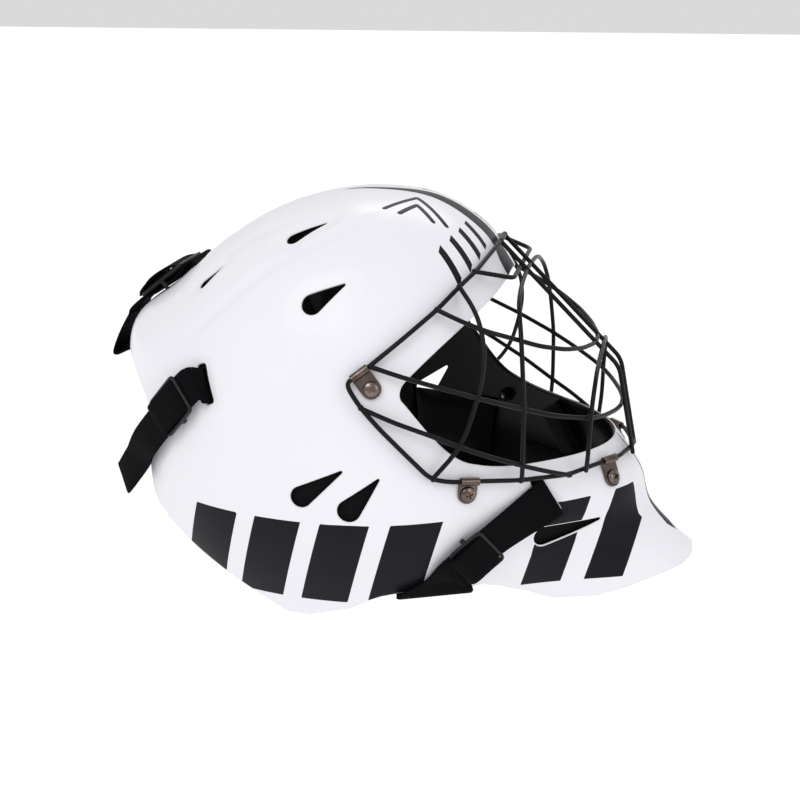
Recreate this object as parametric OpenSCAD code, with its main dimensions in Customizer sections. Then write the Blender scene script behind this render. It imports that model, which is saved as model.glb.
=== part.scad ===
// Floorball goalkeeper's mask, in millimetres. It stands on z = 0, looks along +X and is even about y = 0.
// Every outside piece is placed on the shell's own surface, by an angle round it and a row down it.

/* [Shell] */
// width of the shell over the ears
shell_width = 240; // [220:1:260]
// height of the crown above the floor
shell_height = 228; // [210:1:245]
// from the upright axis inside the shell to the tip of the chin
front_reach = 193; // [180:1:205]
// from the upright axis to the back of the shell
rear_reach = 148; // [138:1:158]
// thickness of the moulded wall
wall = 3; // [2.4:0.1:4]
// height of the middle of the rear opening's upper edge
rear_lip_height = 134; // [124:1:146]

/* [Cage] */
// diameter of the cage wire
wire = 2.6; // [2.4:0.1:4]
// how far the rim wire stands off the shell at its clips
wire_stand_off = 2.9; // [2.8:0.1:4.5]
// space between the two wires that run down the middle
nose_wire_gap = 19; // [14:1:28]

/* [Clips] */
// width of the metal strip that wraps the wire
clip_width = 11; // [9.5:0.5:13]
// thickness of that strip
clip_sheet = 1; // [0.8:0.1:1.4]
// from the middle of a temple or chin screw to the middle of the wire
clip_reach = 10.3; // [9.5:0.1:12]
// the same at a jaw screw
jaw_reach = 7.4; // [7.2:0.1:10]
// diameter of the clip screws
screw = 4; // [4:0.5:5]
// diameter of the heads of the clip screws
screw_head = 9; // [8:0.1:9.6]
// clearance all round a screw in its hole
screw_play = 0.08; // [0.03:0.01:0.1]

/* [Straps] */
// width of the side webbing
webbing = 20; // [15:1:22]
// width of the chin webbing
chin_webbing = 25; // [20:1:26]
// width of the webbing at the top of the back
top_webbing = 36; // [25:1:40]
// thickness of all the webbing
webbing_thick = 1.6; // [1.2:0.1:2]
// length of a side slider along its webbing
slider_length = 29; // [20:1:31]
// length of a chin slider along its webbing
chin_slider_length = 23; // [18:1:25]
// length of the top slider along its webbing
top_slider_length = 33; // [26:1:34]
// clearance between a slider and its webbing
slider_play = 0.3; // [0.2:0.05:0.5]
// diameter of the pins that hold the webbing inside
keeper = 4; // [3:0.1:5]

/* [Lining] */
// thickness of the foam pads at their crown
pad_thick = 12; // [8:0.5:16]
// thickness of the plate behind the head
plate_thick = 2.5; // [2:0.1:4]
// width of the plate behind the head
plate_width = 82; // [70:1:90]
// radius of the chin cup's outside
cup_radius = 42; // [38:1:46]

/* [Hidden] */
$fn = 48;
// x of the upright axis that the shell's profiles turn about
axis_x = -15;
// profiles of the shell as radius and height, row 0 at the crown and row 9 below the hem
front_line = [[0, 228], [36, 224.5], [64, 208], [79, 186.5], [108, 139.5],
    [140, 94.5], [160, 68.5], [168.5, 44.5], [192, 21.5], [206, 15.5]];
side_line = [[0, 228], [48, 221.5], [82, 201.5], [103, 169.5], [115, 130.5],
    [120, 94.5], [120, 62.5], [113, 33.5], [103, 7.5], [96, -12.5]];
rear_line = [[0, 228], [48, 219], [86, 198.5], [118, 171.5], [146, 146.5],
    [146, 103.5], [143, 67.5], [137, 37.5], [124, 9.5], [112, -12.5]];
// how wide the pointed front is, in degrees, at each row
prow = [[0, 30], [4, 30], [5, 29], [6, 27], [7, 24], [8, 20], [9, 18]];
// the row where the shell ends, at each angle from the front
hem = [[0, 8.05], [5, 8.35], [8, 8.55], [11, 8.75], [14, 8.95], [17, 9], [20, 8.9], [23, 8.7],
    [30, 8.15], [39, 7.8], [45, 7.65], [59, 7.65], [70, 7.55], [77, 7.65], [82, 7.8], [86, 8],
    [91, 8.1], [97, 8.25], [102, 8.4], [107, 8.4], [112, 8.15], [121, 7.75], [130, 7.35],
    [142, 6.85], [149, 6.7], [155, 6.6], [180, 6.5]];
columns = 64;
rows = 22;

// sizes that follow from the ones above
scale_front = front_reach / 193;
scale_rear = rear_reach / 148;
scale_side = shell_width / 240;
scale_up = shell_height / 228;
wire_r = wire / 2;
clip_r = wire_r + clip_sheet;
hole_r = screw / 2 + screw_play;
strap_lift = 3.9;
bar = 1.6;

function clamp(v) = min(max(v, 0), 1);
function unit(v) = v / norm(v);
function spline(a, b, c, d, t) = 0.5 * (2 * b + (c - a) * t
    + (2 * a - 5 * b + 4 * c - d) * t * t + (3 * b - a - 3 * c + d) * t * t * t);
function along(line, s) = let (i = min(max(floor(s), 0), 8),
    before = i > 0 ? line[i - 1] : [-line[1][0], line[1][1]],
    after = i < 8 ? line[i + 2] : 2 * line[9] - line[8])
    spline(before, line[i], line[i + 1], after, s - i);
// degrees away from straight ahead
function turn(a) = abs(((a + 180) % 360 + 360) % 360 - 180);
// a point of the design size taken to the sizes that are set
function sized(p) = [axis_x + (p[0] - axis_x) * (p[0] > axis_x ? scale_front : scale_rear),
    p[1] * scale_side, p[2] * scale_up];
// the shell's outside at angle a and row s
function on(a, s) = let (h = turn(a), c = cos(h), w = lookup(s, prow),
    sharp = pow(1 + h * h / (3 * w * w), -3), top = clamp(1 - (s - 1) / 3),
    to_front = (c > 0 ? c * c : 0) * top + sharp * (1 - top), to_rear = c < 0 ? c * c : 0,
    side = along(side_line, s),
    q = side + (along(front_line, s) - side) * to_front + (along(rear_line, s) - side) * to_rear,
    r = q[0] - (c > 0 ? 4 * sin(20 * s) * pow(sin(2 * h), 2) : 0))
    sized([axis_x + r * cos(a), r * sin(a), q[1]]);
// which way the shell faces there
function out(a, s) = unit(cross(on(a, s + 0.02) - on(a, s - 0.02), on(a + 0.2, s) - on(a - 0.2, s)));
function off(a, s, d) = on(a, s) + out(a, s) * d;
function left(p) = [p[0], -p[1], p[2]];

// clips as angle, row, lean of the strip and reach, on the right side
temple = [-79.4, 3.8, -36, clip_reach];
jaw = [-54.1, 5.49, 6, jaw_reach];
chin = [-13.6, 5.85, -1, clip_reach];
clips = [temple, jaw, chin];
// the strip's direction from screw to wire, and the wire's own direction
function tilt(c) = let (n = out(c[0], c[1]), ahead = unit(cross([0, 0, 1], n)), up = cross(n, ahead))
    up * cos(c[2]) + ahead * sin(c[2]);
function wire_way(c) = cross(tilt(c), out(c[0], c[1]));
function wire_at(c) = off(c[0], c[1], wire_stand_off) + tilt(c) * c[3];
// a point of the wire at its clip, along by the distance d
function held(c, d) = wire_at(c) + wire_way(c) * d;

// vents as angle, row, spin, length and width, on the right side
vents = [[-113.9, 1.46, -35, 25, 9], [-146, 2.54, -22, 19, 7], [-95, 2.58, -53, 27, 12],
    [-93.5, 5.29, -55, 34, 12], [-82.3, 5.47, -42, 31, 13], [-24.3, 6.73, -83, 44, 12]];

// slots for the webbing as angle, row, spin and the webbing's width
rear_slot = [-126, 4.08, 24, webbing];
chin_slot = [-31, 5.88, 34, chin_webbing];

// places things on the shell with +Z outwards, +X down the shell and +Y forwards on the right
module on_shell(a, s, spin = 0) {
    n = out(a, s);
    translate(on(a, s)) rotate([0, acos(n[2]), atan2(n[1], n[0])]) rotate([0, 0, spin]) children();
}

// places things with +X along d and +Z as near to n as it can be
module along_way(p, d, n) {
    x = unit(d);
    z = unit(n - x * (n * x));
    y = cross(z, x);
    tip = asin(-x[2]);
    translate(p) rotate([0, 0, atan2(x[1], x[0])]) rotate([0, tip, 0])
        rotate([atan2(y[2] / cos(tip), z[2] / cos(tip)), 0, 0]) children();
}

module both_sides() {
    children();
    mirror([0, 1, 0]) children();
}

// closes a grid of points into a solid, with count rings of side points each
module loft(points, sides, count) {
    body = [for (i = [0:count - 2]) for (j = [0:sides - 1]) let (a = i * sides + j,
        b = i * sides + (j + 1) % sides) each j < sides / 2 ? [[a, b, b + sides], [a, b + sides, a + sides]]
        : [[a, b, a + sides], [b, b + sides, a + sides]]];
    caps = [[for (j = [sides - 1:-1:0]) j], [for (j = [0:sides - 1]) (count - 1) * sides + j]];
    polyhedron(points, concat(body, caps));
}

// rounds the corners of a line of points by cutting back reach on each side
function rounded(p, reach, steps) = let (n = len(p)) [for (i = [0:n - 1]) each
    (i == 0 || i == n - 1) ? [p[i]] : let (a = p[i - 1] - p[i], b = p[i + 1] - p[i],
    fa = min(0.5, reach / norm(a)), fb = min(0.5, reach / norm(b)), u = a * fa, v = b * fb)
    [for (t = [0:1 / steps:1.01]) p[i] + u * (1 - t) * (1 - t) + v * t * t]];
// drops points that fall on the one before
function thinned(p) = [for (i = [0:len(p) - 1]) if (i == 0 || norm(p[i] - p[max(i - 1, 0)]) > 0.4) p[i]];
function heading(p, i) = unit(p[min(i + 1, len(p) - 1)] - p[max(i - 1, 0)]);

// a round wire along a line of points
module wire_along(line, reach = 6, steps = 2, sides = 8) {
    p = thinned(rounded(line, reach, steps));
    n = len(p);
    middle = [0, 0, 110];
    rings = [for (i = [0:n - 1]) let (h = heading(p, i), u = unit(cross(h, p[i] - middle)), v = cross(u, h))
        for (k = [0:sides - 1]) p[i] + (u * cos(360 * k / sides) + v * sin(360 * k / sides)) * wire_r];
    loft(rings, sides, n);
}

// one edge of a ribbon along a line of points, facing the ways in faces
function edge(line, faces, width, side) = [for (i = [0:len(line) - 1])
    line[i] + unit(cross(faces[i], heading(line, i))) * side * width / 2];

// webbing between its two edges
module band(a, b) {
    n = len(a);
    function middle(i) = (a[i] + b[i]) / 2;
    rings = [for (i = [0:n - 1]) let (h = middle(min(i + 1, n - 1)) - middle(max(i - 1, 0)),
        t = unit(cross(h, b[i] - a[i])) * webbing_thick / 2) each [a[i] + t, b[i] + t, b[i] - t, a[i] - t]];
    loft(rings, 4, n);
}

// where a slot is, which way the webbing leaves it and which way it faces
function slot_at(s, deep = 0) = off(s[0], s[1], -deep);
function slot_across(s) = let (n = out(s[0], s[1]), level = unit([-n[1], n[0], 0]))
    cross(level, n) * cos(s[2]) + level * sin(s[2]);
function slot_way(s) = cross(slot_across(s), out(s[0], s[1]));
loop_depth = wall + keeper / 2 + 3;

// the frame of a slider, lying on webbing whose middle runs through the origin along X, and the webbing
// that bulges up between its end bars by rise
module slider(width, length, rise, deep = 0) {
    rail = 1.8;
    gap = webbing_thick / 2 + slider_play;
    inside = width / 2 + slider_play;
    reach = length / 2 - 2.4;
    low = [for (t = [-1:0.25:1]) [t * reach, gap + 0.15 + rise * (1 - t * t)]];
    difference() {
        union() {
            for (side = [-inside - rail, inside]) translate([-length / 2, side, -gap - bar - deep])
                cube([length, rail, 2 * gap + 2 * bar + deep]);
            for (end = [-1, 1]) translate([end * (length / 2 - 1.1) - 1.1, -inside - 1, gap])
                cube([2.2, 2 * inside + 2, bar]);
            translate([-1.5, -inside - 1, -gap - bar]) cube([3, 2 * inside + 2, bar]);
            rotate([90, 0, 0]) linear_extrude(2 * inside + 0.8, center = true)
                polygon(concat(low, [for (i = [8:-1:0]) low[i] + [0, webbing_thick]]));
        }
        for (end = [0, 1]) mirror([end, 0, 0]) for (side = [0, 1]) mirror([0, side, 0])
            translate([length / 2, inside + rail, 0]) rotate([0, 0, 45])
                translate([-0.8, -4, -10]) cube([4, 8, 20]);
    }
}

// a sewn loop of webbing round a pin, with its axis along Y
module loop(width) {
    rotate([90, 0, 0]) difference() {
        cylinder(r = keeper / 2 + 2, h = width, center = true);
        cylinder(r = keeper / 2 + 0.05, h = width + 2, center = true);
    }
}

module pin(length) rotate([90, 0, 0]) cylinder(r = keeper / 2, h = length, center = true);

// a foam pad on the inside of the shell, crowned and drawn in at its edges, with sewn channels
module pad(a0, a1, s0, s1, thick, channels = 1, nu = 12, nv = 10) {
    gap = wall + 0.8;
    function rise(u, v) = let (x = 2 * u - 1, y = 2 * v - 1,
        dip = channels > 0 ? pow(max(0, 1 - abs((u * (channels + 1)) - round(u * (channels + 1))) * 5), 2) : 0,
        inner = u > 0.1 && u < 0.9 ? dip : 0)
        gap + 3 + (thick - 3) * (1 - pow(abs(x), 5)) * (1 - pow(abs(y), 5)) * (1 - 0.3 * inner);
    function draw(u, v, k) = let (x = 2 * u - 1, y = 2 * v - 1, in = k * (1 - 0.6 * abs(x * y)) * 0.035)
        [0.5 + x * (0.5 - in * (1 - y * y)), 0.5 + y * (0.5 - in * (1 - x * x))];
    function at(u, v, d) = let (q = draw(u, v, 1)) off(a0 + (a1 - a0) * q[0], s0 + (s1 - s0) * q[1], -d);
    n = (nu + 1) * (nv + 1);
    function k(i, j) = i * (nv + 1) + j;
    back = [for (i = [0:nu]) for (j = [0:nv]) at(i / nu, j / nv, gap)];
    face = [for (i = [0:nu]) for (j = [0:nv]) at(i / nu, j / nv, rise(i / nu, j / nv))];
    rim = concat([for (i = [0:nu]) k(i, 0)], [for (j = [1:nv]) k(nu, j)],
        [for (i = [nu - 1:-1:0]) k(i, nv)], [for (j = [nv - 1:-1:1]) k(0, j)]);
    m = len(rim);
    polyhedron(concat(back, face), concat(
        [for (i = [0:nu - 1]) for (j = [0:nv - 1]) each [[k(i, j), k(i + 1, j), k(i + 1, j + 1)],
            [k(i, j), k(i + 1, j + 1), k(i, j + 1)]]],
        [for (i = [0:nu - 1]) for (j = [0:nv - 1]) each [[n + k(i, j), n + k(i + 1, j + 1), n + k(i + 1, j)],
            [n + k(i, j), n + k(i, j + 1), n + k(i + 1, j + 1)]]],
        [for (i = [0:m - 1]) let (p = rim[i], q = rim[(i + 1) % m]) each [[p, n + q, q], [p, n + p, n + q]]]));
}

// the plate behind the head: its inside radius, and the pin at its top that the top webbing holds
plate_inset = 17;
plate_r = rear_reach - plate_inset;
hinge_x = axis_x - plate_r - 0.6 * plate_thick;
hinge_z = rear_lip_height - 12.5;
plate_top = hinge_z - 9.5;
plate_foot = plate_top - 68;
plate_half = asin(plate_width / 2 / plate_r);

// the top webbing in the middle plane, as x and z: down over the shell, round under its rear lip, to the pin
lip_turn = 22.2;
function lip_height(z) = rear_lip_height + z * (z > 0 ? (156.2 * scale_up - rear_lip_height) / lip_turn : 1);
function middle(x, z) = let (p = sized([x, 0, z])) [p[0], p[2]];
top_run = concat([for (p = [[-108, 176], [-112, 179.2], [-115.6, 182.2], [-119.5, 184], [-124.8, 183]])
    middle(p[0], p[1])],
    [for (p = [[-158.7, lip_turn], [-163.7, 14.8], [-170, 3.4], [-174.3, -7.4], [-172.8, -9.6], [-163.6, -5.7],
        [-157, -6.5]]) [middle(p[0], 0)[0], lip_height(p[1])]],
    [[hinge_x - 2.7, hinge_z]]);
top_loop = sized([-106.3, 0, 173.1]);
top_slot_x = middle(-118, 0)[0];
top_slider_at = sized([-140.5, 0, 170.6]);
top_way = sized([axis_x - 39, 0, -30.8]) - [axis_x, 0, 0];

// where the side and the chin sliders lie and which way their webbing runs
rear_way = unit(off(-137.8, 4.74, strap_lift) - off(-130.2, 4.24, strap_lift));
rear_slider_at = off(-134, 4.49, strap_lift);
rear_out = out(-134, 4.49);
chin_way = unit(off(-54.4, 6.94, strap_lift) - off(-47.2, 6.5, strap_lift));
chin_slider_at = off(-50.8, 6.72, strap_lift);
chin_out = out(-50.8, 6.72);
// how far a side or a chin slider slides each way
slider_travel = 4;

// the shell as a skin of even thickness, cut out for the face, the head, the vents and the webbing
module shell() {
    function column(i) = let (u = 360 * i / columns) u - 0.45 * sin(u) * 180 / PI;
    function row(i, j) = let (t = j / rows) lookup(turn(column(i)), hem) * (0.85 * t + 0.15 * t * t);
    function k(i, j) = (i % columns) * rows + j - 1;
    n = columns * rows;
    outside = [for (i = [0:columns - 1]) for (j = [1:rows]) on(column(i), row(i, j))];
    inside = [for (i = [0:columns - 1]) for (j = [1:rows]) off(column(i), row(i, j), -wall)];
    crown = [[axis_x, 0, shell_height], [axis_x, 0, shell_height - wall]];
    color("white") difference() {
        polyhedron(concat(outside, inside, crown), concat(
            [for (i = [0:columns - 1]) [2 * n, k(i + 1, 1), k(i, 1)]],
            [for (i = [0:columns - 1]) [2 * n + 1, n + k(i, 1), n + k(i + 1, 1)]],
            [for (i = [0:columns - 1]) for (j = [1:rows - 1]) each [
                [k(i, j), k(i + 1, j + 1), k(i, j + 1)], [k(i, j), k(i + 1, j), k(i + 1, j + 1)]]],
            [for (i = [0:columns - 1]) for (j = [1:rows - 1]) each [
                [n + k(i, j), n + k(i, j + 1), n + k(i + 1, j + 1)],
                [n + k(i, j), n + k(i + 1, j + 1), n + k(i + 1, j)]]],
            [for (i = [0:columns - 1]) each [[k(i, rows), n + k(i + 1, rows), n + k(i, rows)],
                [k(i, rows), k(i + 1, rows), n + k(i + 1, rows)]]]));
        face_opening();
        rear_opening();
        translate([-300, -300, -60]) cube([600, 600, 60]);
        both_sides() for (v = vents) on_shell(v[0], v[1], v[2]) vent(v[3], v[4]);
        both_sides() for (s = [rear_slot, chin_slot]) on_shell(s[0], s[1], s[2])
            translate([-s[3] / 2 - 2.4, -3, -10]) cube([s[3] + 3.2, 6, 20]);
        translate([top_slot_x - 4, -top_webbing / 2 - 2, 150]) cube([8, top_webbing + 4, 60]);
        both_sides() for (c = clips) on_shell(c[0], c[1]) cylinder(r = hole_r, h = 30, center = true);
    }
}

// the face opening as seen from the side, carried straight across
module face_opening() {
    side = [for (q = [[0, 3.12], [-30, 3.05], [-48.7, 3.2], [-60, 3.42], [-69, 3.7], [-71.2, 3.82], [-71.4, 3.95],
        [-69.5, 4.08], [-61, 4.65], [-55, 4.93], [-50, 5.04], [-44, 5.12], [-36, 5.17], [-20, 5.2], [0, 5.21]])
        let (p = on(q[0], q[1])) [p[0], p[2]]];
    translate([0, 200, 0]) rotate([90, 0, 0]) linear_extrude(400)
        polygon(concat([[320, side[0][1] + 40], [side[0][0], side[0][1] + 3]], side, [[320, side[14][1]]]));
}

// the opening behind the head as seen from the back
module rear_opening() {
    top = rear_lip_height;
    half = [[0, top], [40, top], [50, top - 2], [58, top - 5.5], [66, top - 12], [72, top - 19], [74.5, top - 27],
        [74, top - 37], [71, top - 50], [67, top - 64], [64.5, top - 75], [64, top - 80], [65, top - 83.5],
        [68, top - 86], [73, top - 87.5], [73, -30], [0, -30]];
    translate([-260, 0, 0]) rotate([90, 0, 90]) linear_extrude(160) for (m = [0, 1]) mirror([m, 0])
        polygon([for (q = half) [q[0] * scale_side, q[1]]]);
}

// a vent as a drop with a round end and a narrow one
module vent(length, width) {
    r = width / 2;
    translate([0, 0, -12]) linear_extrude(24) polygon(concat([[-length / 2, 0.4], [-length / 2, -0.4]],
        [for (a = [-100:25:100]) [length / 2 - r + r * cos(a), r * sin(a)]]));
}

// half of the rim of the cage from the brow to the chin, on the right
function rim() = concat([for (p = [[60.5, -12, 201], [59, -24, 199.5], [53, -52.5, 192.5], [46, -68.5, 186.5],
    [36.5, -85, 177], [20, -102.5, 163.5]]) sized(p)],
    [for (d = [6, 2, -3, -9.3]) held(temple, d)],
    [for (p = [[1.5, -118.5, 130.5], [12, -118.6, 119], [25, -116.6, 105.5], [38, -111.4, 90.5]]) sized(p)],
    [for (d = [-12, -3, 3, 12]) held(jaw, d)], [for (p = [[83, -84.5, 83.5], [107.7, -66, 82]]) sized(p)],
    [for (d = [-9, -3, 3, 9]) held(chin, d)]);

module cage() color([0.08, 0.08, 0.09]) {
    half = rim();
    back = [for (i = [len(half) - 1:-1:0]) left(half[i])];
    nose = nose_wire_gap / 2;
    mouth = [sized([141.5, 0, 81])];
    brow = [sized([61, 0, 201.3])];
    difference() {
        union() {
            wire_along(concat(brow, half, mouth));
            wire_along(concat(mouth, back, brow));
            wire_along([for (p = [[52, -55, 192.3], [72.5, -43.6, 187], [72.5, 43.6, 187], [52, 55, 192.3]])
                sized(p)], 5);
            both_sides() wire_along([for (p = [[46, -69, 186.5], [55, -77, 177], [60, -83, 168],
                [62.8, -88.5, 156.5], [62.7, -94, 143], [60.5, -98.5, 131.5], [56, -103.5, 115],
                [50, -107.5, 103.5], [39, -111, 90.5]]) sized(p)]);
            arc([[36.5, 85, 177], [50, 86.5, 171.5], [63, 83.5, 166], [75, 77, 161.5], [90, 67, 155],
                [103, 50.5, 149.5], [111.5, 32, 146], [116.5, 12, 144]], [117.3, 0, 143.7]);
            arc([[6.5, 112, 151], [22, 110.5, 146], [38, 107, 141], [61, 98.5, 133], [83, 86.5, 125],
                [98, 76, 119], [109, 65, 115], [118.5, 53.5, 111.5], [125.5, 38, 109], [131, 20, 107.3],
                [133, 8, 106.8]], [133.3, 0, 106.7]);
            both_sides() wire_along([for (p = [[2, -118.5, 130], [20, -116, 122], [40, -111, 114],
                [51, -107, 108.5], [64, -101, 102.5], [84, -87.5, 93], [98, -77.5, 87], [109, -67, 82]]) sized(p)]);
            arc([[84, 84.5, 83.3], [84.5, 87, 93], [84.5, 87, 107], [84.3, 85.5, 126], [82.5, 81, 147],
                [80.8, 75.5, 162], [79, 69, 171.5], [77.6, 61, 177], [77, 50, 181], [76.6, 36, 183.4],
                [76.3, 18, 184.4]], [76, 0, 184.8]);
            arc([[117, 56, 81.5], [118, 60, 92], [118.3, 59.5, 103], [118.5, 57, 112], [119.2, 55, 123],
                [119.8, 50, 130], [120, 41, 134.5], [120.4, 27, 138], [120.8, 14, 140.3]], [121, 0, 141]);
            both_sides() wire_along([[60.7, -nose, 201] + [0, 0, shell_height - 228], [131, -nose, 130],
                [141, -nose, 78.5]], 5);
        }
    }
}

// a wire that is even about the middle plane, from the right rim over the middle to the left rim
module arc(half, middle) wire_along(concat([for (p = half) sized([p[0], -p[1], p[2]])], [sized(middle)],
    [for (i = [len(half) - 1:-1:0]) sized(half[i])]));

// a strip that wraps the wire and lies under its screw, on the right side
module clip(c) color([0.36, 0.3, 0.28]) {
    n = out(c[0], c[1]);
    along_way(on(c[0], c[1]), wire_way(c), n) difference() {
        union() {
            translate([0, 0, 0.1]) linear_extrude(2 * clip_sheet) union() {
                circle(r = clip_width / 2);
                translate([-clip_width / 2, 0]) square([clip_width, c[3]]);
            }
            translate([0, c[3], wire_stand_off]) rotate([0, 90, 0])
                cylinder(r = clip_r, h = clip_width, center = true);
        }
        translate([0, c[3], wire_stand_off]) rotate([0, 90, 0])
            cylinder(r = wire_r + 0.05, h = clip_width + 2, center = true);
        cylinder(r = hole_r, h = 20, center = true);
    }
}

module clip_screws() color([0.4, 0.35, 0.33]) both_sides() for (c = clips)
    along_way(on(c[0], c[1]), wire_way(c), out(c[0], c[1])) screw_body(screw_head / 2);

module screw_body(head_r) {
    seat = 0.1 + 2 * clip_sheet;
    difference() {
        rotate_extrude() polygon([[0, -wall - 5], [screw / 2, -wall - 5], [screw / 2, seat], [head_r, seat],
            [head_r, seat + 0.9], [head_r * 0.9, seat + 1.7], [head_r * 0.6, seat + 2.4], [0, seat + 2.6]]);
        for (a = [0, 90]) rotate([0, 0, a + 20]) translate([-head_r * 0.55, -0.5, seat + 1.3])
            cube([head_r * 1.1, 1, 3]);
    }
}

module clip_nuts() color([0.25, 0.24, 0.24]) both_sides() for (c = clips)
    along_way(on(c[0], c[1]), wire_way(c), out(c[0], c[1])) translate([0, 0, -wall - 1.2]) difference() {
        union() {
            translate([0, 0, -1]) cylinder(r = screw * 1.15, h = 1);
            translate([0, 0, -4]) cylinder(r = screw * 0.9, h = 3.2, $fn = 6);
        }
        cylinder(r = screw / 2 + 0.03, h = 20, center = true);
    }

module top_strap() {
    n = len(top_run);
    function side(i) = let (h = unit(top_run[min(i + 1, n - 1)] - top_run[max(i - 1, 0)]))
        [-h[1], h[0]] * webbing_thick / 2;
    color([0.07, 0.07, 0.08]) union() {
        rotate([90, 0, 0]) linear_extrude(top_webbing, center = true) polygon(concat(
            [for (i = [0:n - 1]) top_run[i] + side(i)], [for (i = [n - 1:-1:0]) top_run[i] - side(i)]));
        translate([hinge_x, 0, hinge_z]) loop(top_webbing);
        translate(top_loop) loop(top_webbing);
    }
}

module top_slider() color([0.12, 0.12, 0.13])
    along_way(top_slider_at, top_way, [top_way[2], 0, -top_way[0]])
        slider(top_webbing, top_slider_length, 6, 1.5);

// the loop of webbing round the pin behind a slot
module slot_loop(s) along_way(slot_at(s, loop_depth), out(s[0], s[1]), slot_way(s)) loop(s[3]);

// the webbing out of a slot and straight under its slider, which is at p and reaches far each way
function slot_line(s, p, way, far) = let (o = slot_at(s), n = out(s[0], s[1]), d = slot_way(s))
    [o - n * (loop_depth - keeper / 2 - 0.8), o - n * 1.5, o + n * 1.8 + d * 0.6, o + n * 3 + d * 3,
    p - way * far, p + way * far];
function slot_faces(s, face) = let (n = out(s[0], s[1]), d = slot_way(s)) [-d, -d, unit(n - d), n, face, face];

// the side webbing from its pin inside, out through the slot, under the slider and round to the plate
module rear_strap() color([0.07, 0.07, 0.08]) {
    line = slot_line(rear_slot, rear_slider_at, rear_way, slider_length / 2 + slider_travel + 0.3);
    faces = slot_faces(rear_slot, rear_out);
    union() {
        band(concat(edge(line, faces, webbing, -1),
            [for (q = [[-140, -79, 96.5], [-149.5, -68.5, 81.5], [-159.5, -57, 68.5], [-154, -50, 79]])
                sized(q)],
            [plate_bar_end() + [0, 0, webbing / 2]]),
            concat(edge(line, faces, webbing, 1),
            [for (q = [[-125, -89, 86], [-133.5, -77.5, 73.5], [-151, -65, 52.5], [-150, -52, 60]]) sized(q)],
            [plate_bar_end() - [0, 0, webbing / 2]]));
        slot_loop(rear_slot);
    }
}

// where the side webbing meets the plate's side edge
function plate_bar_end() = [axis_x - (plate_r + plate_thick + 1.6) * cos(plate_half - 1.5),
    -plate_width / 2 - 0.5, plate_foot + 30];

module rear_slider() color([0.12, 0.12, 0.13])
    along_way(rear_slider_at, rear_way, rear_out) slider(webbing, slider_length, 1.8);

// the middle of the shell's lower edge at angle a, and webbing wrapped round it from outside to inside
function hem_at(a) = off(a, lookup(turn(a), hem), -wall / 2);
function wrap(a) = let (n = out(a, lookup(turn(a), hem)), o = unit([n[0], n[1], 0]),
    r = wall / 2 + webbing_thick / 2 + 0.6) [for (t = [0:45:180])
        hem_at(a) + o * cos(t) * (t < 90 ? r + 2.2 : r) - [0, 0, sin(t) * 3]];

// the chin webbing from its pin inside, out through the slot, under the slider and round the hem to the cup
module chin_strap() color([0.07, 0.07, 0.08]) {
    line = slot_line(chin_slot, chin_slider_at, chin_way, chin_slider_length / 2 + slider_travel + 0.3);
    faces = slot_faces(chin_slot, chin_out);
    end = cup_bar() + [0, -3, -1.9];
    union() {
        band(concat(edge(line, faces, chin_webbing, -1), [off(-64.5, 7.2, 2.4)], wrap(-72),
            [sized([20, -74, 26]), end - [chin_webbing / 2, 0, 0]]),
            concat(edge(line, faces, chin_webbing, 1), [off(-50.5, 7.4, 2.6)], wrap(-49),
            [sized([45, -68, 26]), end + [chin_webbing / 2, 0, 0]]));
        slot_loop(chin_slot);
        translate(cup_bar()) rotate([0, 0, 90]) loop(chin_webbing);
    }
}

module chin_slider() color([0.12, 0.12, 0.13])
    along_way(chin_slider_at, chin_way, chin_out) slider(chin_webbing, chin_slider_length, 1.8);

module back_plate() color([0.1, 0.1, 0.11]) {
    post = top_webbing / 2 + 1;
    difference() {
        translate([axis_x, 0, plate_foot]) rotate([0, 0, 180 - plate_half])
            rotate_extrude(angle = 2 * plate_half, $fn = 96)
            translate([plate_r, 0]) square([plate_thick, plate_top - plate_foot]);
        for (z = [30, 42]) translate([-170, -14, plate_foot + z]) cube([60, 28, 5]);
    }
    translate([hinge_x, 0, hinge_z]) pin(2 * post + 6);
    both_sides() translate([hinge_x - 1, post, plate_top - 8]) cube([3.6, 3, hinge_z - plate_top + 8]);
}

module back_pad() color([0.1, 0.1, 0.1]) translate([axis_x, 0, 0]) rotate([0, 0, 180 - plate_half])
    rotate_extrude(angle = 2 * plate_half, $fn = 96)
        polygon([[plate_r - 0.3, plate_foot + 3], [plate_r - 0.3, plate_top - 3], [plate_r - 5, plate_top - 5],
            [plate_r - 9, plate_top - 16], [plate_r - 9, plate_foot + 14], [plate_r - 5, plate_foot + 5]]);

// the middle of the chin cup's bowl, and its bar for the chin webbing on the right
cup_at = [14, 0, 66];
function cup_bar() = [cup_at[0] + 16, -cup_radius - 1, cup_at[2] - 24];

module chin_cup() color([0.1, 0.1, 0.11]) {
    translate(cup_at) cup(cup_radius, cup_radius - 2.5, 0);
    both_sides() translate(cup_bar()) {
        rotate([0, 90, 0]) cylinder(r = keeper / 2, h = chin_webbing + 6, center = true);
        for (end = [[-1, 12], [1, 31]]) translate([end[0] * (chin_webbing / 2 + 2.5) - 1.5, -2, -keeper / 2])
            cube([3, end[1], keeper]);
    }
}

// part of a round bowl, open at the top and at the back
module cup(outer, inner, trim) difference() {
    sphere(r = outer, $fn = 64);
    sphere(r = inner, $fn = 64);
    translate([-100, -100, -18 - trim]) cube(200);
    translate([-200 + trim, -100, -100]) cube(200);
}

module chin_cup_pad() color([0.13, 0.13, 0.13]) translate(cup_at) cup(cup_radius - 2.9, cup_radius - 8, 2);

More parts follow.
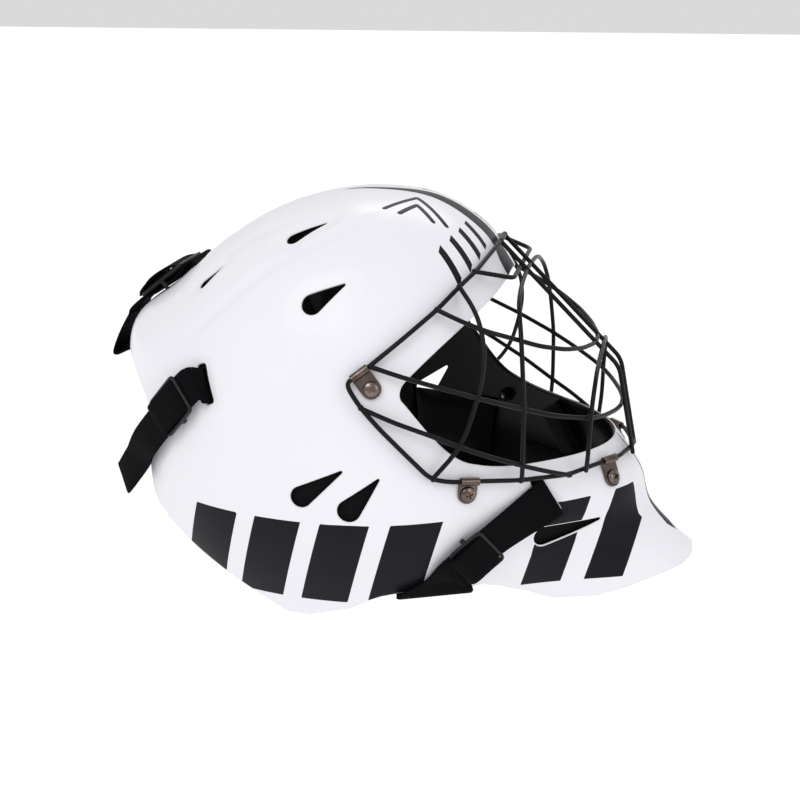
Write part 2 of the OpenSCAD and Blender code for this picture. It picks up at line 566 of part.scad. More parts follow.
// the pins behind the slots, each inside its loop of webbing
module strap_keepers() color([0.2, 0.2, 0.2]) {
    both_sides() for (s = [rear_slot, chin_slot])
        along_way(slot_at(s, loop_depth), out(s[0], s[1]), slot_way(s)) pin(s[3] + 8);
    translate(top_loop) pin(top_webbing + 8);
}

module crown_pad() color([0.1, 0.1, 0.1]) translate([axis_x, 0, shell_height - 228]) rotate_extrude()
    polygon([[0, 224.4], [20, 222.9], [36, 219.2], [43, 216.4], [45, 214], [43, 211.6], [36, 211], [33, 212],
        [30, 211], [18, 212.4], [15, 213.6], [12, 212.8], [0, 213]]);
module forehead_pad() color([0.1, 0.1, 0.1]) pad(-40, 40, 2.05, 2.95, pad_thick, 3, 16, 6);
module rear_pad() color([0.1, 0.1, 0.1]) pad(148, 212, 1.5, 2.3, pad_thick, 2, 12, 6);
module side_pad() color([0.1, 0.1, 0.1]) pad(-120, -89, 2.95, 6.15, pad_thick, 1, 10, 12);
module jaw_pad() color([0.1, 0.1, 0.1]) pad(-88, -58, 5.65, 7.0, pad_thick, 0, 8, 8);
module chin_pad() color([0.1, 0.1, 0.1]) pad(-44, -13, 6.45, 7.6, pad_thick - 4, 0, 8, 6);

shell();
cage();
clip(temple);  // temple_clip_right
mirror([0, 1, 0]) clip(temple);  // temple_clip_left
clip(jaw);  // jaw_clip_right
mirror([0, 1, 0]) clip(jaw);  // jaw_clip_left
clip(chin);  // chin_clip_right
mirror([0, 1, 0]) clip(chin);  // chin_clip_left
clip_screws();
clip_nuts();
top_strap();
top_slider();
rear_strap();  // rear_strap_right
mirror([0, 1, 0]) rear_strap();  // rear_strap_left
rear_slider();  // rear_slider_right
mirror([0, 1, 0]) rear_slider();  // rear_slider_left
chin_strap();  // chin_strap_right
mirror([0, 1, 0]) chin_strap();  // chin_strap_left
chin_slider();  // chin_slider_right
mirror([0, 1, 0]) chin_slider();  // chin_slider_left
back_plate();
back_pad();
strap_keepers();
chin_cup();
chin_cup_pad();
forehead_pad();
crown_pad();
rear_pad();
side_pad();  // side_pad_right
mirror([0, 1, 0]) side_pad();  // side_pad_left
jaw_pad();  // jaw_pad_right
mirror([0, 1, 0]) jaw_pad();  // jaw_pad_left
chin_pad();  // chin_pad_right
mirror([0, 1, 0]) chin_pad();  // chin_pad_left
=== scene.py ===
import math

import bmesh
import bpy
import numpy as np
from mathutils import Matrix, Vector


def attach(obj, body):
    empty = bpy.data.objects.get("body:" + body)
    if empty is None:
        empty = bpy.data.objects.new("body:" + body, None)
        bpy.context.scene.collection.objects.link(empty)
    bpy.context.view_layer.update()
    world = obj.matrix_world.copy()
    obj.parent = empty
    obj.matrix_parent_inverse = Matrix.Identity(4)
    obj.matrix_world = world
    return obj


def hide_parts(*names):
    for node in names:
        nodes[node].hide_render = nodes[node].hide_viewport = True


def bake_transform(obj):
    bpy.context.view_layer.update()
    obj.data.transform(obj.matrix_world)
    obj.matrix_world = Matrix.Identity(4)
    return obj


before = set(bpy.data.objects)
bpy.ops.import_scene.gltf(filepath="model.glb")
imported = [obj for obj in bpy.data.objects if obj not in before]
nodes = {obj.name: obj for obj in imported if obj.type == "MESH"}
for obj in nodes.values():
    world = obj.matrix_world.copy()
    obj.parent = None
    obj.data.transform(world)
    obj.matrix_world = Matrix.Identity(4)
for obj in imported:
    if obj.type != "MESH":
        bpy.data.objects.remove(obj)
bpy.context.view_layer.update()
MM = 0.001

# camera
azimuth, drop = math.radians(10.91), math.atan(453 / 1500)
LOOK_AT, DISTANCE = Vector((0, 0, 0.0995)), 0.9091
right = Vector((math.cos(azimuth), math.sin(azimuth), 0))
away = Vector((-math.sin(azimuth) * math.cos(drop), math.cos(azimuth) * math.cos(drop), -math.sin(drop)))
up = right.cross(away)
camera = bpy.data.objects.new("camera", bpy.data.cameras.new("camera"))
bpy.context.scene.collection.objects.link(camera)
camera.data.lens = 67.5
camera.data.sensor_width = 36
camera.data.clip_start = 0.05
camera.data.clip_end = 20
camera.matrix_world = Matrix((
    (right.x, up.x, -away.x, 0), (right.y, up.y, -away.y, 0), (right.z, up.z, -away.z, 0), (0, 0, 0, 1)))
camera.location = LOOK_AT - away * DISTANCE
bpy.context.scene.camera = camera

# the shell's surface, as in the CAD source
AXIS = -15.0
FRONT = np.array([[0, 228], [36, 224.5], [64, 208], [79, 186.5], [108, 139.5],
                  [140, 94.5], [160, 68.5], [168.5, 44.5], [192, 21.5], [206, 15.5]], float)
SIDE = np.array([[0, 228], [48, 221.5], [82, 201.5], [103, 169.5], [115, 130.5],
                 [120, 94.5], [120, 62.5], [113, 33.5], [103, 7.5], [96, -12.5]], float)
REAR = np.array([[0, 228], [48, 219], [86, 198.5], [118, 171.5], [146, 146.5],
                 [146, 103.5], [143, 67.5], [137, 37.5], [124, 9.5], [112, -12.5]], float)
PROW = np.array([[0, 30], [4, 30], [5, 29], [6, 27], [7, 24], [8, 20], [9, 18]], float)
HEM = np.array([[0, 8.05], [5, 8.35], [8, 8.55], [11, 8.75], [14, 8.95], [17, 9], [20, 8.9], [23, 8.7],
                [30, 8.15], [39, 7.8], [45, 7.65], [59, 7.65], [70, 7.55], [77, 7.65], [82, 7.8], [86, 8],
                [91, 8.1], [97, 8.25], [102, 8.4], [107, 8.4], [112, 8.15], [121, 7.75], [130, 7.35],
                [142, 6.85], [149, 6.7], [155, 6.6], [180, 6.5]], float)
WALL = 3.0
EDGE = 0.7


def catmull(a, b, c, d, t):
    """a point between b and c of a Catmull-Rom line"""
    return 0.5 * (2 * b + (c - a) * t + (2 * a - 5 * b + 4 * c - d) * t * t
                  + (3 * b - a - 3 * c + d) * t ** 3)


def along(line, s):
    ends = np.vstack([[-line[1][0], line[1][1]], line, 2 * line[9] - line[8]])
    i = np.clip(np.floor(s).astype(int), 0, 8)
    t = (s - i)[..., None]
    return catmull(ends[i], ends[i + 1], ends[i + 2], ends[i + 3], t)


def on(a, s):
    a, s = np.broadcast_arrays(np.asarray(a, float), np.asarray(s, float))
    h = np.abs((a + 180) % 360 - 180)
    c = np.cos(np.radians(h))
    w = np.interp(s, PROW[:, 0], PROW[:, 1])
    sharp = (1 + h * h / (3 * w * w)) ** -3.0
    top = np.clip(1 - (s - 1) / 3, 0, 1)
    front = np.where(c > 0, c * c, 0) * top + sharp * (1 - top)
    rear = np.where(c < 0, c * c, 0)
    side = along(SIDE, s)
    q = side + (along(FRONT, s) - side) * front[..., None] + (along(REAR, s) - side) * rear[..., None]
    r = q[..., 0] - np.where(c > 0, 4 * np.sin(np.radians(20 * s)) * np.sin(np.radians(2 * h)) ** 2, 0)
    t = np.radians(a)
    return np.stack([AXIS + r * np.cos(t), r * np.sin(t), q[..., 1]], -1)


def unit(v):
    v = np.asarray(v, float)
    return v / (np.linalg.norm(v, axis=-1, keepdims=True) + 1e-12)


def out(a, s):
    a, s = np.asarray(a, float), np.asarray(s, float)
    return unit(np.cross(on(a, s + 0.02) - on(a, s - 0.02), on(a + 0.2, s) - on(a - 0.2, s)))


def off(a, s, d):
    return on(a, s) + out(a, s) * np.asarray(d, float)[..., None]


def local(a, s, spin):
    """the point and the axes of a thing laid on the shell: down the shell, across it and out of it"""
    n = out(a, s)
    rz = lambda t: np.array([[math.cos(t), -math.sin(t), 0], [math.sin(t), math.cos(t), 0], [0, 0, 1]])
    ry = lambda t: np.array([[math.cos(t), 0, math.sin(t)], [0, 1, 0], [-math.sin(t), 0, math.cos(t)]])
    m = rz(math.atan2(n[1], n[0])) @ ry(math.acos(n[2])) @ rz(math.radians(spin))
    return on(a, s), m


# distances to outlines
def to_polygon(p, poly):
    """signed distance from 2-D points to a closed outline, negative inside"""
    poly = np.asarray(poly, float)
    best = np.full(len(p), 1e18)
    inside = np.zeros(len(p), bool)
    for i in range(len(poly)):
        a, b = poly[i], poly[(i + 1) % len(poly)]
        e, w = b - a, p - a
        t = np.clip((w @ e) / max(e @ e, 1e-12), 0, 1)
        d = w - t[:, None] * e
        best = np.minimum(best, (d * d).sum(1))
        crosses = (a[1] > p[:, 1]) != (b[1] > p[:, 1])
        with np.errstate(divide="ignore", invalid="ignore"):
            x = a[0] + (p[:, 1] - a[1]) * e[0] / (e[1] if e[1] != 0 else 1e-12)
        inside ^= crosses & (p[:, 0] < x)
    return np.where(inside, -1, 1) * np.sqrt(best)


def to_slot(p, half, r):
    """distance from 2-D points to a rectangle about the origin with corners of radius r"""
    d = np.abs(p) - [half[0] - r, half[1] - r]
    return np.linalg.norm(np.maximum(d, 0), axis=1) + np.minimum(d.max(1), 0) - r


def drop_outline(length, width):
    r = width / 2
    tip = [[-length / 2 + 0.8 - 0.8 * math.cos(math.radians(a)), -0.8 * math.sin(math.radians(a))]
           for a in range(-70, 71, 20)]
    return tip + [[length / 2 - r + r * math.cos(math.radians(a)), r * math.sin(math.radians(a))]
                  for a in range(-100, 101, 10)]


def smooth_line(points, steps):
    """a Catmull-Rom line through the points"""
    p = np.asarray(points, float)
    p = np.vstack([2 * p[0] - p[1], p, 2 * p[-1] - p[-2]])
    rows = []
    for i in range(1, len(p) - 2):
        for k in range(steps):
            rows.append(catmull(p[i - 1], p[i], p[i + 1], p[i + 2], k / steps))
    rows.append(p[-2])
    return np.array(rows)


# outlines cut in the shell
CLIPS = {"temple": (-79.4, 3.8, -36, 10.3), "jaw": (-54.1, 5.49, 6, 7.4),
         "chin": (-13.6, 5.85, -1, 10.3)}
VENTS = [(-113.9, 1.46, -35, 25, 9), (-146, 2.54, -22, 19, 7), (-95, 2.58, -53, 27, 12),
         (-93.5, 5.29, -55, 34, 12), (-82.3, 5.47, -42, 31, 13), (-24.3, 6.73, -83, 44, 12)]
DISHES = [(1.6, 9), (0.9, 6), (0.6, 9), (0.3, 5), (0.3, 5), (0.6, 6)]
REAR_SLOT, CHIN_SLOT = (-126, 4.08, 24, 20), (-31, 5.88, 34, 25)
SLOT_SHIFT, SLOT_SPARE, SLOT_HALF, SLOT_R = 0.8, 1.6, 3, 2
TOP_SLOT_X, TOP_SLOT_HALF = -118, (4, 20)
FACE = [[0, 3.12], [-30, 3.05], [-48.7, 3.2], [-60, 3.42], [-69, 3.7], [-71.2, 3.82], [-71.4, 3.95],
        [-69.5, 4.08], [-61, 4.65], [-55, 4.93], [-50, 5.04], [-44, 5.12], [-36, 5.17], [-20, 5.2], [0, 5.21]]
LIP = 134
REAR_HALF = [[0, LIP], [40, LIP], [50, LIP - 2], [58, LIP - 5.5], [66, LIP - 12], [72, LIP - 19],
             [74.5, LIP - 27], [74, LIP - 37], [71, LIP - 50], [67, LIP - 64], [64.5, LIP - 75],
             [64, LIP - 80], [65, LIP - 83.5], [68, LIP - 86], [73, LIP - 87.5], [73, -30], [0, -30]]


def flat(points, a, s, spin):
    """points in the flat frame of a thing laid on the shell"""
    o, m = local(a, s, spin)
    return (points - o) @ m


def hole_distance(a, s):
    """distance in mm from each point of the outside to the nearest cut, negative in a hole"""
    p = on(a, s)
    p[..., 1] = -np.abs(p[..., 1])
    shape = p.shape[:-1]
    p = p.reshape(-1, 3)
    best = np.full(len(p), 60.0)

    def near(mask, value):
        best[mask] = np.minimum(best[mask], value)

    face = smooth_line([[q[0], q[2]] for q in (on(np.array(v[0]), np.array(v[1])) for v in FACE)], 4)
    poly = np.vstack([[320, face[0][1] + 40], [face[0][0], face[0][1] + 3], face, [320, face[-1][1]]])
    m = p[:, 0] > -10
    near(m, to_polygon(p[m][:, [0, 2]], poly))
    half = smooth_line(REAR_HALF[1:-3], 4)
    half = np.vstack([[0, LIP], half, [73, LIP - 87.5], [73, -30], [0, -30]])
    poly = np.vstack([half, half[::-1] * [-1, 1]])
    m = p[:, 0] < -95
    near(m, to_polygon(p[m][:, [1, 2]], poly))
    for v in VENTS:
        q = flat(p, v[0], v[1], v[2])
        m = (np.abs(q[:, :2]).max(1) < v[3]) & (np.abs(q[:, 2]) < 14)
        near(m, to_polygon(q[m][:, :2], drop_outline(v[3], v[4])))
    for t in (REAR_SLOT, CHIN_SLOT):
        q = flat(p, *t[:3])
        m = (np.abs(q[:, :2]).max(1) < 30) & (np.abs(q[:, 2]) < 14)
        near(m, to_slot(q[m][:, :2] + [SLOT_SHIFT, 0], (t[3] / 2 + SLOT_SPARE, SLOT_HALF), SLOT_R))
    m = (p[:, 0] < -90) & (p[:, 2] > 150)
    near(m, to_slot(p[m][:, :2] - [TOP_SLOT_X, 0], TOP_SLOT_HALF, SLOT_R))
    for c in CLIPS.values():
        q = flat(p, c[0], c[1], 0)
        m = (np.abs(q[:, :2]).max(1) < 10) & (np.abs(q[:, 2]) < 8)
        near(m, np.linalg.norm(q[m][:, :2], axis=1) - 2.08)
    return np.minimum(best, p[:, 2]).reshape(shape)


def bump(t):
    t = np.clip(t, 0, 1)
    return t * t * (3 - 2 * t)


def line_distance(p, points):
    """distance in space to a line of points, and how far along it"""
    p = np.asarray(p, float)
    points = np.asarray(points, float)
    best = np.full(len(p), 1e18)
    far = np.zeros(len(p))
    sofar = 0.0
    for a, b in zip(points[:-1], points[1:]):
        e = b - a
        t = np.clip(((p - a) @ e) / (e @ e), 0, 1)
        d = ((p - a - t[:, None] * e) ** 2).sum(1)
        m = d < best
        best[m] = d[m]
        far[m] = sofar + t[m] * np.linalg.norm(e)
        sofar += np.linalg.norm(e)
    return np.sqrt(best), far / sofar


# each groove's line, depth and reach
GROOVES = [([(-60, 0.92), (-82.5, 1.2), (-101.5, 1.66), (-115.5, 2.08), (-126, 2.62), (-134.5, 3.28),
             (-137.5, 3.66), (-139, 4.1)], 0.9, 7),
           ([(-100, 0.95), (-108.5, 1.04), (-129, 1.34), (-142, 1.82), (-148, 2.5), (-150, 3.2)], 0.7, 9)]


def relief(a, s):
    """how far the moulded details stand out of the plain surface, in mm"""
    p = on(a, s)
    p[..., 1] = -np.abs(p[..., 1])
    shape = p.shape[:-1]
    p = p.reshape(-1, 3)
    d = np.zeros(len(p))
    # a soft dish round each vent, deepest at the cut
    for v, (deep, wide) in zip(VENTS, DISHES):
        q = flat(p, v[0], v[1], v[2])
        m = (np.abs(q[:, :2]).max(1) < v[3] + wide) & (np.abs(q[:, 2]) < 14)
        e = to_polygon(q[m][:, :2], drop_outline(v[3] + 6, v[4] + 1))
        d[m] -= deep * bump(1 - np.maximum(e, 0) / wide)
    for t in (REAR_SLOT, CHIN_SLOT):
        q = flat(p, *t[:3])
        m = (np.abs(q[:, :2]).max(1) < 40) & (np.abs(q[:, 2]) < 14)
        e = np.abs(q[m][:, :2] + [SLOT_SHIFT, 0]) - [t[3] / 2 + SLOT_SPARE, SLOT_HALF]
        e = np.linalg.norm(np.maximum(e, 0), axis=1)
        d[m] -= 0.8 * bump(1 - e / 5)
    # two soft grooves that run back from the crown beside the vents
    for line, deep, wide in GROOVES:
        points = on(*np.array(line, float).T)
        m = (p[:, 2] > points[:, 2].min() - 12) & (p[:, 1] < points[:, 1].max() + 12)
        e, far = line_distance(p[m], smooth_line(points, 4))
        d[m] -= deep * bump(1 - e / wide) * bump(far * 4) * bump(4 - far * 4)
    return d.reshape(shape)


# what is printed in black on the shell
STRIPE = [[-48, -6], [-30, 1.5], [0, 4], [20, 6.5], [40, 8.5], [57, 9.5], [61, 14], [66, 15.5]]
CHEVRONS = [[[-1, 40], [13, 16], [33, 35]], [[8, 42], [15, 27], [26, 38]]]
TOP_BARS = [(39, 58), (43, 45.5), (46, 33), (47.5, 20.5)]
JAW_BARS = [(-112, 27), (-74, 27), (-36, 27), (2, 27), (83, 22), (118, 22)]


def print_distance(a, s):
    """distance in mm to the nearest edge of the black print, negative inside it"""
    p = on(a, s)
    x, y, z = p[..., 0], np.abs(p[..., 1]), p[..., 2]
    # a stripe over the crown, pointed at the back, down to the edge of the face opening
    stripe = np.array(STRIPE, float)
    best = np.where((z > 150) & (x > -60), y - np.interp(x, stripe[:, 0], stripe[:, 1]), 50.0)
    # chevrons and slanted bars beside it
    top = z > 180
    plan = np.stack([x[top], y[top]], 1)
    near = best[top]
    for line in CHEVRONS:
        near = np.minimum(near, line_distance(plan, line)[0] - 1.5)
    for mx, my in TOP_BARS:
        slanted = plan[:, 1] - my - 0.45 * (plan[:, 0] - mx)
        near = np.minimum(near, np.maximum(np.abs(slanted) - 2.6, np.abs(plan[:, 0] - mx) - 6.5))
    best[top] = near
    # a narrow stripe down the front of the chin
    chin = np.interp(z, [26, 33, 48, 72, 95], [-2, 4.5, 2.6, 1.0, 1.0])
    best = np.minimum(best, np.where((x > 100) & (z < 110), y - chin, 50.0))
    # slanted bars along the jaw
    for start, width in JAW_BARS:
        slanted = x - start - 0.3 * (z - 14)
        box = np.maximum(np.abs(slanted - width / 2) - width / 2, np.abs(z - 38) - 26)
        best = np.minimum(best, np.where(y > 20, box, 50.0))
    return best


# pieces and meshes
def new_mesh(name, verts, faces, tags=None, mats=(), smooth=35, uv=None):
    mesh = bpy.data.meshes.new(name)
    mesh.from_pydata([tuple(v) for v in np.asarray(verts) * MM], [], faces)
    if uv is not None:
        layer = mesh.uv_layers.new(name="strap")
        index = np.zeros(len(mesh.loops), np.int32)
        mesh.loops.foreach_get("vertex_index", index)
        layer.data.foreach_set("uv", np.asarray(uv)[index].ravel())
    if tags is not None:
        mesh.polygons.foreach_set("material_index", tags)
    for m in mats:
        mesh.materials.append(m)
    mesh.update()
    mesh.validate()
    if smooth:
        mesh.polygons.foreach_set("use_smooth", [True] * len(mesh.polygons))
        mesh.set_sharp_from_angle(angle=math.radians(smooth))
    obj = bpy.data.objects.new(name, mesh)
    bpy.context.scene.collection.objects.link(obj)
    return obj


def flipped(verts):
    return np.asarray(verts) * [1, -1, 1]


def one_side(verts, faces, side):
    """a mesh of the right side as it is, or mirrored to the left"""
    return (verts, faces) if side < 0 else (flipped(verts), [f[::-1] for f in faces])


def ring_faces(rings, count, closed=False):
    """faces along a swept outline of so many points, with a face at each end unless it closes on itself"""
    faces = [[i * count + k, i * count + (k + 1) % count,
              (i + 1) % rings * count + (k + 1) % count, (i + 1) % rings * count + k]
             for i in range(rings if closed else rings - 1) for k in range(count)]
    if closed:
        return faces
    return faces + [list(range(count - 1, -1, -1)), [(rings - 1) * count + k for k in range(count)]]


def grid_solid(back, face, nu, nv):
    """a thin solid between two grids of points"""
    n = (nu + 1) * (nv + 1)
    k = lambda i, j: i * (nv + 1) + j
    rim = ([k(i, 0) for i in range(nu + 1)] + [k(nu, j) for j in range(1, nv + 1)]
           + [k(i, nv) for i in range(nu - 1, -1, -1)] + [k(0, j) for j in range(nv - 1, 0, -1)])
    faces = [[k(i, j), k(i + 1, j), k(i + 1, j + 1), k(i, j + 1)] for i in range(nu) for j in range(nv)]
    faces += [[n + q for q in reversed(f)] for f in faces]
    faces += [[p, n + p, n + q, q] for p, q in zip(rim, rim[1:] + rim[:1])]
    return np.vstack([back.reshape(-1, 3), face.reshape(-1, 3)]), faces


def stands_for(piece, node, body="helmet"):
    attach(piece, body)
    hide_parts(node)


def shell_cells(columns, rows, coarse):
    """the surface as a list of cells, fine near its cuts and prints"""
    i, j = np.meshgrid(np.arange(columns + 1), np.arange(rows + 1), indexing="ij")
    u = i * 2 * math.pi / columns
    a = np.degrees(u - 0.45 * np.sin(u))
    t = j / rows
    turn = np.abs((a + 180) % 360 - 180)
    s = (np.interp(turn, HEM[:, 0], HEM[:, 1]) - 0.03) * (0.85 * t + 0.15 * t * t)
    hole, ink = hole_distance(a, s), print_distance(a, s)
    fine = (np.abs(hole - EDGE) < 1.6) | (np.abs(ink) < 1.2) | (np.abs(relief(a, s)) > 0.03)
    nc, nr = columns // coarse, rows // coarse
    split = fine[:columns, :rows].reshape(nc, coarse, nr, coarse).any((1, 3))
    gone = (hole[:columns, :rows] < -3).reshape(nc, coarse, nr, coarse).all((1, 3))
    rings = []
    c = coarse
    for x in range(nc):
        for y in range(nr):
            if gone[x, y]:
                continue
            x0, x1, y0, y1 = x * c, x * c + c, y * c, y * c + c
            if split[x, y]:
                rings += [[(p, q), (p, q + 1), (p + 1, q + 1), (p + 1, q)]
                          for p in range(x0, x1) for q in range(y0, y1)]
                continue
            ring = [(x0, y0)]
            if split[(x - 1) % nc, y]:
                ring += [(x0, y0 + k) for k in range(1, c)]
            ring.append((x0, y1))
            if y + 1 < nr and split[x, y + 1]:
                ring += [(x0 + k, y1) for k in range(1, c)]
            ring.append((x1, y1))
            if split[(x + 1) % nc, y]:
                ring += [(x1, y0 + k) for k in range(c - 1, 0, -1)]
            ring.append((x1, y0))
            if y > 0 and split[x, y - 1]:
                ring += [(x0 + k, y0) for k in range(c - 1, 0, -1)]
            rings.append(ring)
    number, places, polys = {}, [], []
    for ring in rings:
        poly = []
        for p, q in ring:
            key = (p % columns, q) if q > 0 else (0, 0)
            if key not in number:
                number[key] = len(places)
                places.append((a[key], s[key]))
            k = number[key]
            if not poly or k not in (poly[0], poly[-1]):
                poly.append(k)
        if len(poly) > 2:
            polys.append(poly)
    return places, polys


def split_cells(places, polys, tags, field, tag):
    """cuts the cells where the field is zero; its negative side gets the tag, or is dropped"""
    v = list(field(*np.array(places).T))
    made = {}
    kept, marks = [], []

    def cross(p, q):
        key = (min(p, q), max(p, q))
        if key not in made:
            t = v[p] / (v[p] - v[q])
            (ap, sp), (aq, sq) = places[p], places[q]
            aq += 360 * round((ap - aq) / 360)
            made[key] = len(places)
            places.append((ap + (aq - ap) * t, sp + (sq - sp) * t))
            v.append(0.0)
        return made[key]

    for poly, mark in zip(polys, tags):
        over = [v[k] > 0 for k in poly]
        if all(over):
            kept.append(poly)
            marks.append(mark)
            continue
        if not any(over):
            if tag is not None:
                kept.append(poly)
                marks.append(tag)
            continue
        plus, minus = [], []
        for n, k in enumerate(poly):
            after = (n + 1) % len(poly)
            (plus if over[n] else minus).append(k)
            if over[n] != over[after]:
                x = cross(k, poly[after])
                plus.append(x)
                minus.append(x)
        if len(plus) > 2:
            kept.append(plus)
            marks.append(mark)
        if tag is not None and len(minus) > 2:
            kept.append(minus)
            marks.append(tag)
    return kept, marks


def make_shell(mats):
    places, polys = shell_cells(960, 400, 4)
    tags = [0] * len(polys)
    polys, tags = split_cells(places, polys, tags, lambda a, s: hole_distance(a, s) - EDGE, None)
    polys, tags = split_cells(places, polys, tags, print_distance, 1)
    a, s = np.array(places).T
    skin = off(a, s, relief(a, s))
    bm = bmesh.new()
    layer_a, layer_s = bm.verts.layers.float.new("a"), bm.verts.layers.float.new("s")
    verts = {}
    for poly in polys:
        for k in poly:
            if k not in verts:
                verts[k] = bm.verts.new(skin[k])
                verts[k][layer_a], verts[k][layer_s] = a[k], s[k]
    for poly, tag in zip(polys, tags):
        try:
            bm.faces.new([verts[k] for k in poly]).material_index = tag
        except ValueError:
            pass
    bmesh.ops.remove_doubles(bm, verts=bm.verts[:], dist=0.08)
    bmesh.ops.dissolve_degenerate(bm, edges=bm.edges[:], dist=0.02)
    bm.verts.index_update()
    p = np.array([v.co for v in bm.verts])
    a = np.array([v[layer_a] for v in bm.verts])
    s = np.array([v[layer_s] for v in bm.verts])
    faces = [[v.index for v in f.verts] for f in bm.faces]
    tags = [f.material_index for f in bm.faces]
    rims = []
    for e in bm.edges:
        if e.is_boundary:
            loop = e.link_loops[0]
            rims.append((loop.vert.index, loop.link_loop_next.vert.index))
    bm.free()
    n = out(a, s)
    n[np.linalg.norm(n, axis=1) < 0.5] = [0, 0, 1]
    inner = on(a, s) - n * WALL
    # which way each cut edge faces, smoothed along the cut
    count = len(p)
    after = dict(rims)
    before = {q: k for k, q in rims}
    turn = {k: np.zeros(3) for k in after}
    for k, q in rims:
        t = np.cross(p[q] - p[k], n[k])
        turn[k] += t
        turn.setdefault(q, np.zeros(3))
        turn[q] = turn[q] + t
    for _ in range(2):
        turn = {k: 0.5 * turn[k] + 0.25 * (turn[after.get(k, k)] + turn[before.get(k, k)]) for k in turn}
    verts = [p, inner]
    names, total = {}, 2 * count
    steps = [math.radians(d) for d in (30, 60, 90)]
    for k in turn:
        g = unit(turn[k] - n[k] * (turn[k] @ n[k]))
        top = [p[k] + g * EDGE * math.sin(d) - n[k] * EDGE * (1 - math.cos(d)) for d in steps]
        low = [inner[k] + g * EDGE * math.sin(d) + n[k] * EDGE * (1 - math.cos(d)) for d in reversed(steps)]
        verts.append(np.array(top + low))
        names[k] = [k] + list(range(total, total + 6)) + [count + k]
        total += 6
    verts = np.vstack(verts)
    all_faces = list(faces) + [[count + k for k in reversed(f)] for f in faces]
    all_tags = list(tags) + [2] * len(faces)
    for k, q in rims:
        for m in range(7):
            all_faces.append([names[q][m], names[k][m], names[k][m + 1], names[q][m + 1]])
            all_tags.append(3 if m < 3 else 2)
    return new_mesh("shell_skin", verts, all_faces, all_tags, mats)


# tubes
def rounded(points, reach, steps):
    p = [np.asarray(q, float) for q in points]
    line = [p[0]]
    for i in range(1, len(p) - 1):
        a, b = p[i - 1] - p[i], p[i + 1] - p[i]
        u = a * min(0.5, reach / np.linalg.norm(a))
        v = b * min(0.5, reach / np.linalg.norm(b))
        for k in range(steps + 1):
            t = k / steps
            line.append(p[i] + u * (1 - t) ** 2 + v * t * t)
    line.append(p[-1])
    keep = [line[0]]
    for q in line[1:]:
        if np.linalg.norm(q - keep[-1]) > 0.15:
            keep.append(q)
    return np.array(keep)


def tube(line, radius, sides=14, closed=False):
    """verts and faces of a round tube with domed ends"""
    p = np.asarray(line, float)
    count = len(p)
    if closed:
        h = unit(np.roll(p, -1, 0) - np.roll(p, 1, 0))
    else:
        h = unit(np.vstack([p[1] - p[0], p[2:] - p[:-2], p[-1] - p[-2]]))
    u = np.cross(h[0], [0.31, 0.53, 0.79])
    us = []
    for i in range(count):
        u = unit(u - h[i] * (u @ h[i]))
        us.append(u)
    us = np.array(us)
    vs = np.cross(h, us)
    rows = [(p[i], us[i], vs[i], radius) for i in range(count)]
    if not closed:
        ends = [(1.0, 0.05), (0.87, 0.5), (0.5, 0.87)]
        lead = [(p[0] - h[0] * radius * f, us[0], vs[0], radius * max(w, 0.02)) for f, w in ends]
        tail = [(p[-1] + h[-1] * radius * f, us[-1], vs[-1], radius * max(w, 0.02))
                for f, w in reversed(ends)]
        rows = lead + rows + tail
    angle = np.arange(sides) * 2 * math.pi / sides
    verts = np.vstack([c + (np.outer(np.cos(angle), e) + np.outer(np.sin(angle), f)) * r
                       for c, e, f, r in rows])
    return verts, ring_faces(len(rows), sides, closed)


def joined(parts):
    """one list of verts and faces from several"""
    verts, faces, base = [], [], 0
    for v, f in parts:
        verts.append(np.asarray(v))
        faces += [[base + k for k in face] for face in f]
        base += len(v)
    return np.vstack(verts), faces


# materials
def material(name, base, rough, metallic=0.0, coat=0.0, sheen=0.0, specular=0.5):
    """a new material, its node tree and its shader"""
    mat = bpy.data.materials.new(name)
    mat.use_nodes = True
    tree = mat.node_tree
    shader = tree.nodes["Principled BSDF"]
    shader.inputs["Base Color"].default_value = (*base, 1)
    shader.inputs["Roughness"].default_value = rough
    shader.inputs["Metallic"].default_value = metallic
    shader.inputs["Coat Weight"].default_value = coat
    shader.inputs["Coat Roughness"].default_value = 0.08
    shader.inputs["Sheen Weight"].default_value = sheen
    shader.inputs["Specular IOR Level"].default_value = specular
    return mat, tree, shader


def add(tree, kind, **values):
    node = tree.nodes.new(kind)
    for key, value in values.items():
        if key in node.inputs:
            node.inputs[key].default_value = value
        else:
            setattr(node, key, value)
    return node


def noise(tree, scale, detail=2.0, roughness=0.5, stretch=(1, 1, 1)):
    place = add(tree, "ShaderNodeTexCoord")
    fit = add(tree, "ShaderNodeMapping", Scale=stretch)
    tree.links.new(place.outputs["Object"], fit.inputs["Vector"])
    node = add(tree, "ShaderNodeTexNoise", Scale=scale, Detail=detail, Roughness=roughness)
    tree.links.new(fit.outputs["Vector"], node.inputs["Vector"])
    return node.outputs["Fac"]


def ramp(tree, value, stops):
    node = tree.nodes.new("ShaderNodeValToRGB")
    while len(node.color_ramp.elements) < len(stops):
        node.color_ramp.elements.new(0.5)
    for element, (at, colour) in zip(node.color_ramp.elements, stops):
        element.position = at
        element.color = (*colour, 1)
    tree.links.new(value, node.inputs["Fac"])
    return node.outputs["Color"]


def bump_by(tree, shader, height, strength, distance):
    node = add(tree, "ShaderNodeBump", Strength=strength, Distance=distance)
    tree.links.new(height, node.inputs["Height"])
    tree.links.new(node.outputs["Normal"], shader.inputs["Normal"])


def spread_between(tree, value, low, high):
    node = add(tree, "ShaderNodeMapRange")
    node.inputs["To Min"].default_value = low
    node.inputs["To Max"].default_value = high
    tree.links.new(value, node.inputs["Value"])
    return node.outputs["Result"]


